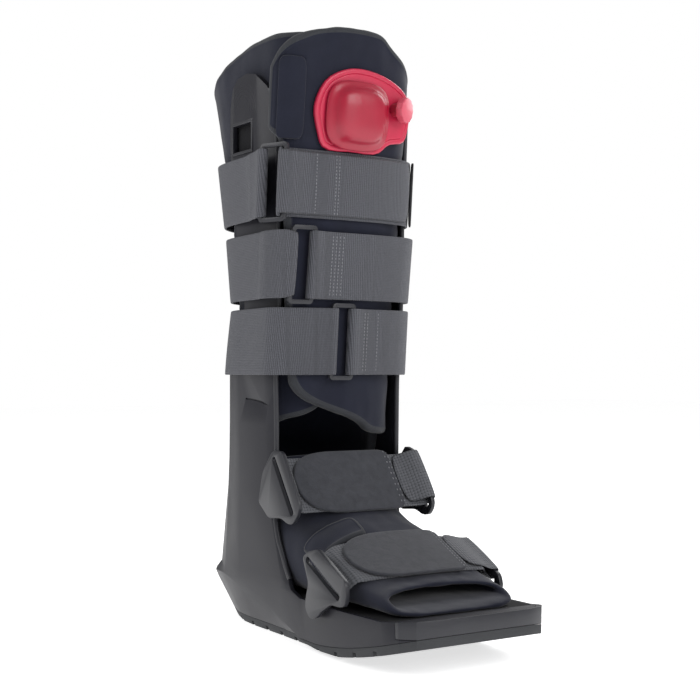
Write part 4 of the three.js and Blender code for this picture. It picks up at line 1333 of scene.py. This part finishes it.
@dataclass
class Pump:
    """Plate, bulb, valve body and release dial of the air pump."""

    wardrobe: Wardrobe
    rim: float = 2.4 * MM
    groove: float = 0.9 * MM
    groove_depth: float = 0.7 * MM
    inner_step: float = 0.4 * MM
    plate_edge: float = 0.3 * MM
    turned_edge: float = 0.6 * MM
    bend_start: float = 29 * MM
    bend_radius: float = 30 * MM
    bend_cuts: int = 6
    bend_step: float = 3 * MM

    def build(self) -> None:
        """Makes the pump's four pieces."""
        self.plate()
        bulb = copy_node("pump_bulb", "pump_bulb_dome")
        with editing(bulb):
            bpy.ops.mesh.tris_convert_to_quads(face_threshold=1.0, shape_threshold=1.2)
        finish_modifier(bulb, "SUBSURF", levels=2, render_levels=2)
        smooth(bulb, 55.0)
        self.wardrobe.dress(bulb, "bulb")
        settle(bulb, BODY, "pump", "pump_bulb")
        for node, finish, body in (
            ("valve_body", "bulb", BODY),
            ("valve_dial", "knob", DIAL_BODY),
        ):
            piece = copy_node(node, f"{node}_turned")
            with editing(piece):
                bpy.ops.mesh.dissolve_limited(angle_limit=FLAT_ANGLE)
            finish_modifier(
                piece, "BEVEL", width=self.turned_edge, segments=3,
                limit_method="ANGLE", angle_limit=math.radians(50),
            )
            smooth(piece, 32.0)
            self.wardrobe.dress(piece, finish)
            settle(piece, body, "pump", node)

    def bend(self, piece: bpy.types.Object) -> None:
        """Bends the plate's far end back, the way the padding under it turns.

        Args:
            piece: the plate.
        """
        with editing(piece):
            for cut in range(self.bend_cuts):
                mesh = bmesh.from_edit_mesh(piece.data)
                bmesh.ops.bisect_plane(
                    mesh,
                    geom=[*mesh.verts, *mesh.edges, *mesh.faces],
                    plane_co=(self.bend_start + cut * self.bend_step, 0.0, 0.0),
                    plane_no=(1.0, 0.0, 0.0),
                )
                bmesh.update_edit_mesh(piece.data)
        for vertex in piece.data.vertices:
            past = vertex.co.x - self.bend_start
            if past > 0:
                vertex.co.y += self.bend_radius - math.sqrt(self.bend_radius**2 - past**2)
        piece.data.update()

    def plate(self) -> None:
        """The plate, with a groove inside its rim whose faces are painted a darker crimson as shade."""
        piece = copy_node("pump_plate", "pump_plate_moulded")
        with editing(piece):
            bpy.ops.mesh.dissolve_limited(angle_limit=math.radians(0.8))
            mesh = bmesh.from_edit_mesh(piece.data)
            mesh.normal_update()
            front = max(
                (f for f in mesh.faces if f.normal.y < -0.8),
                key=lambda f: f.calc_area(),
            )
            chosen = front.calc_center_median().copy()
            select_faces(piece, lambda f: (f.calc_center_median() - chosen).length < 0.1 * MM)
            bpy.ops.mesh.inset(thickness=self.rim)
            mesh = bmesh.from_edit_mesh(piece.data)
            before = {face.index for face in mesh.faces}
            bpy.ops.mesh.inset(thickness=self.groove / 2, depth=-self.groove_depth)
            bpy.ops.mesh.inset(thickness=self.groove / 2, depth=self.groove_depth)
            mesh = bmesh.from_edit_mesh(piece.data)
            # The groove's walls and floor take the second, darker crimson: painted shade in the groove.
            for face in mesh.faces:
                face.material_index = int(face.index not in before and not face.select)
            bmesh.update_edit_mesh(piece.data)
            bpy.ops.mesh.inset(thickness=self.inner_step)
        finish_modifier(
            piece, "BEVEL", width=self.plate_edge, segments=2,
            limit_method="ANGLE", angle_limit=math.radians(30),
        )
        self.bend(piece)
        smooth(piece, 40.0)
        self.wardrobe.dress(piece, "pump", "groove")
        settle(piece, BODY, "pump", "pump_plate")


# Studio


@dataclass
class Studio:
    """Camera at the photograph's viewpoint, a pale floor and soft lights."""

    azimuth: float = 32.75
    camera_place: Point = (-0.5368, -0.8625, 0.1891)
    focal: float = 1334.3
    frame: float = 700.0
    sensor: float = 36.0
    aim_right: float = 18.7
    aim_up: float = 22.1
    surround: float = 0.34
    glow: float = 0.66
    floor_size: float = 12.0
    lit_point: Point = (0.0, -0.04, 0.2)

    def build(self) -> None:
        """Makes the camera, the floor, the lights and the world."""
        self.camera()
        self.floor()
        self.lights()
        self.world()
        bpy.context.scene.view_settings.view_transform = "Standard"

    def camera(self) -> None:
        """The camera, aimed a little up and to the right of level."""
        a = math.radians(self.azimuth)
        ahead = Vector((math.sin(a), math.cos(a), 0.0))
        right = Vector((math.cos(a), -math.sin(a), 0.0))
        up = Vector((0.0, 0.0, 1.0))
        aim = ahead + right * (self.aim_right / self.focal) + up * (self.aim_up / self.focal)
        data = bpy.data.cameras.new("camera")
        data.sensor_width = self.sensor
        data.lens = self.sensor * self.focal / self.frame
        data.clip_start = 0.05
        camera = bpy.data.objects.new("camera", data)
        camera.location = self.camera_place
        camera.rotation_euler = aim.to_track_quat("-Z", "Y").to_euler()
        bpy.context.scene.collection.objects.link(camera)
        bpy.context.scene.camera = camera

    def floor(self) -> None:
        """A plain pale floor."""
        bpy.ops.object.select_all(action="DESELECT")
        bpy.ops.mesh.primitive_plane_add(size=self.floor_size, location=(0.0, 0.0, 0.0))
        floor = bpy.context.object
        floor.name = "floor"
        material = bpy.data.materials.new("pale_floor")
        material.use_nodes = True
        shader = material.node_tree.nodes["Principled BSDF"]
        shader.inputs["Base Color"].default_value = (0.97, 0.97, 0.97, 1.0)
        shader.inputs["Emission Color"].default_value = (1.0, 1.0, 1.0, 1.0)
        shader.inputs["Emission Strength"].default_value = self.glow
        shader.inputs["Roughness"].default_value = 0.6
        floor.data.materials.append(material)
        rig.stage(floor)

    def lights(self) -> None:
        """Three soft boxes: one in front and one behind each side."""
        boxes = (
            ("key", (-1.3, 0.45, 1.0), 1.0, 11.0),
            ("front", (0.35, -1.9, 1.2), 1.4, 27.0),
            ("rim", (1.3, 0.3, 1.0), 1.0, 12.0),
        )
        for name, place, size, power in boxes:
            data = bpy.data.lights.new(name, "AREA")
            data.size = size
            data.energy = power
            light = bpy.data.objects.new(name, data)
            light.location = place
            towards = Vector(self.lit_point) - Vector(place)
            light.rotation_euler = towards.to_track_quat("-Z", "Y").to_euler()
            bpy.context.scene.collection.objects.link(light)

    def world(self) -> None:
        """A white surround that lights the boot more dimly than it looks."""
        world = bpy.data.worlds.new("studio")
        world.use_nodes = True
        tree = world.node_tree
        background = tree.nodes["Background"]
        background.inputs[0].default_value = (1.0, 1.0, 1.0, 1.0)
        seen = tree.nodes.new("ShaderNodeLightPath").outputs["Is Camera Ray"]
        strength = calc(tree, "MULTIPLY_ADD", seen, 1.0 - self.surround, self.surround)
        tree.links.new(strength, background.inputs[1])
        bpy.context.scene.world = world


def main() -> None:
    """Builds the dressed boot and writes the two boxes."""
    logging.basicConfig(level=logging.INFO, format="%(name)s: %(message)s", stream=sys.stdout)
    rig.load()
    cad_box = [list(corner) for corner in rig.bounds()]
    Studio().build()
    wardrobe = Wardrobe()
    Mouldings(wardrobe).build()
    Liner(wardrobe).build()
    Straps(wardrobe).build()
    Pump(wardrobe).build()
    dressed_box = [list(corner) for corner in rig.bounds()]
    with open(SIZE_FILE, "w", encoding="utf-8") as file:
        json.dump({"cad": cad_box, "dressed": dressed_box}, file)


if __name__ == "__main__":
    main()
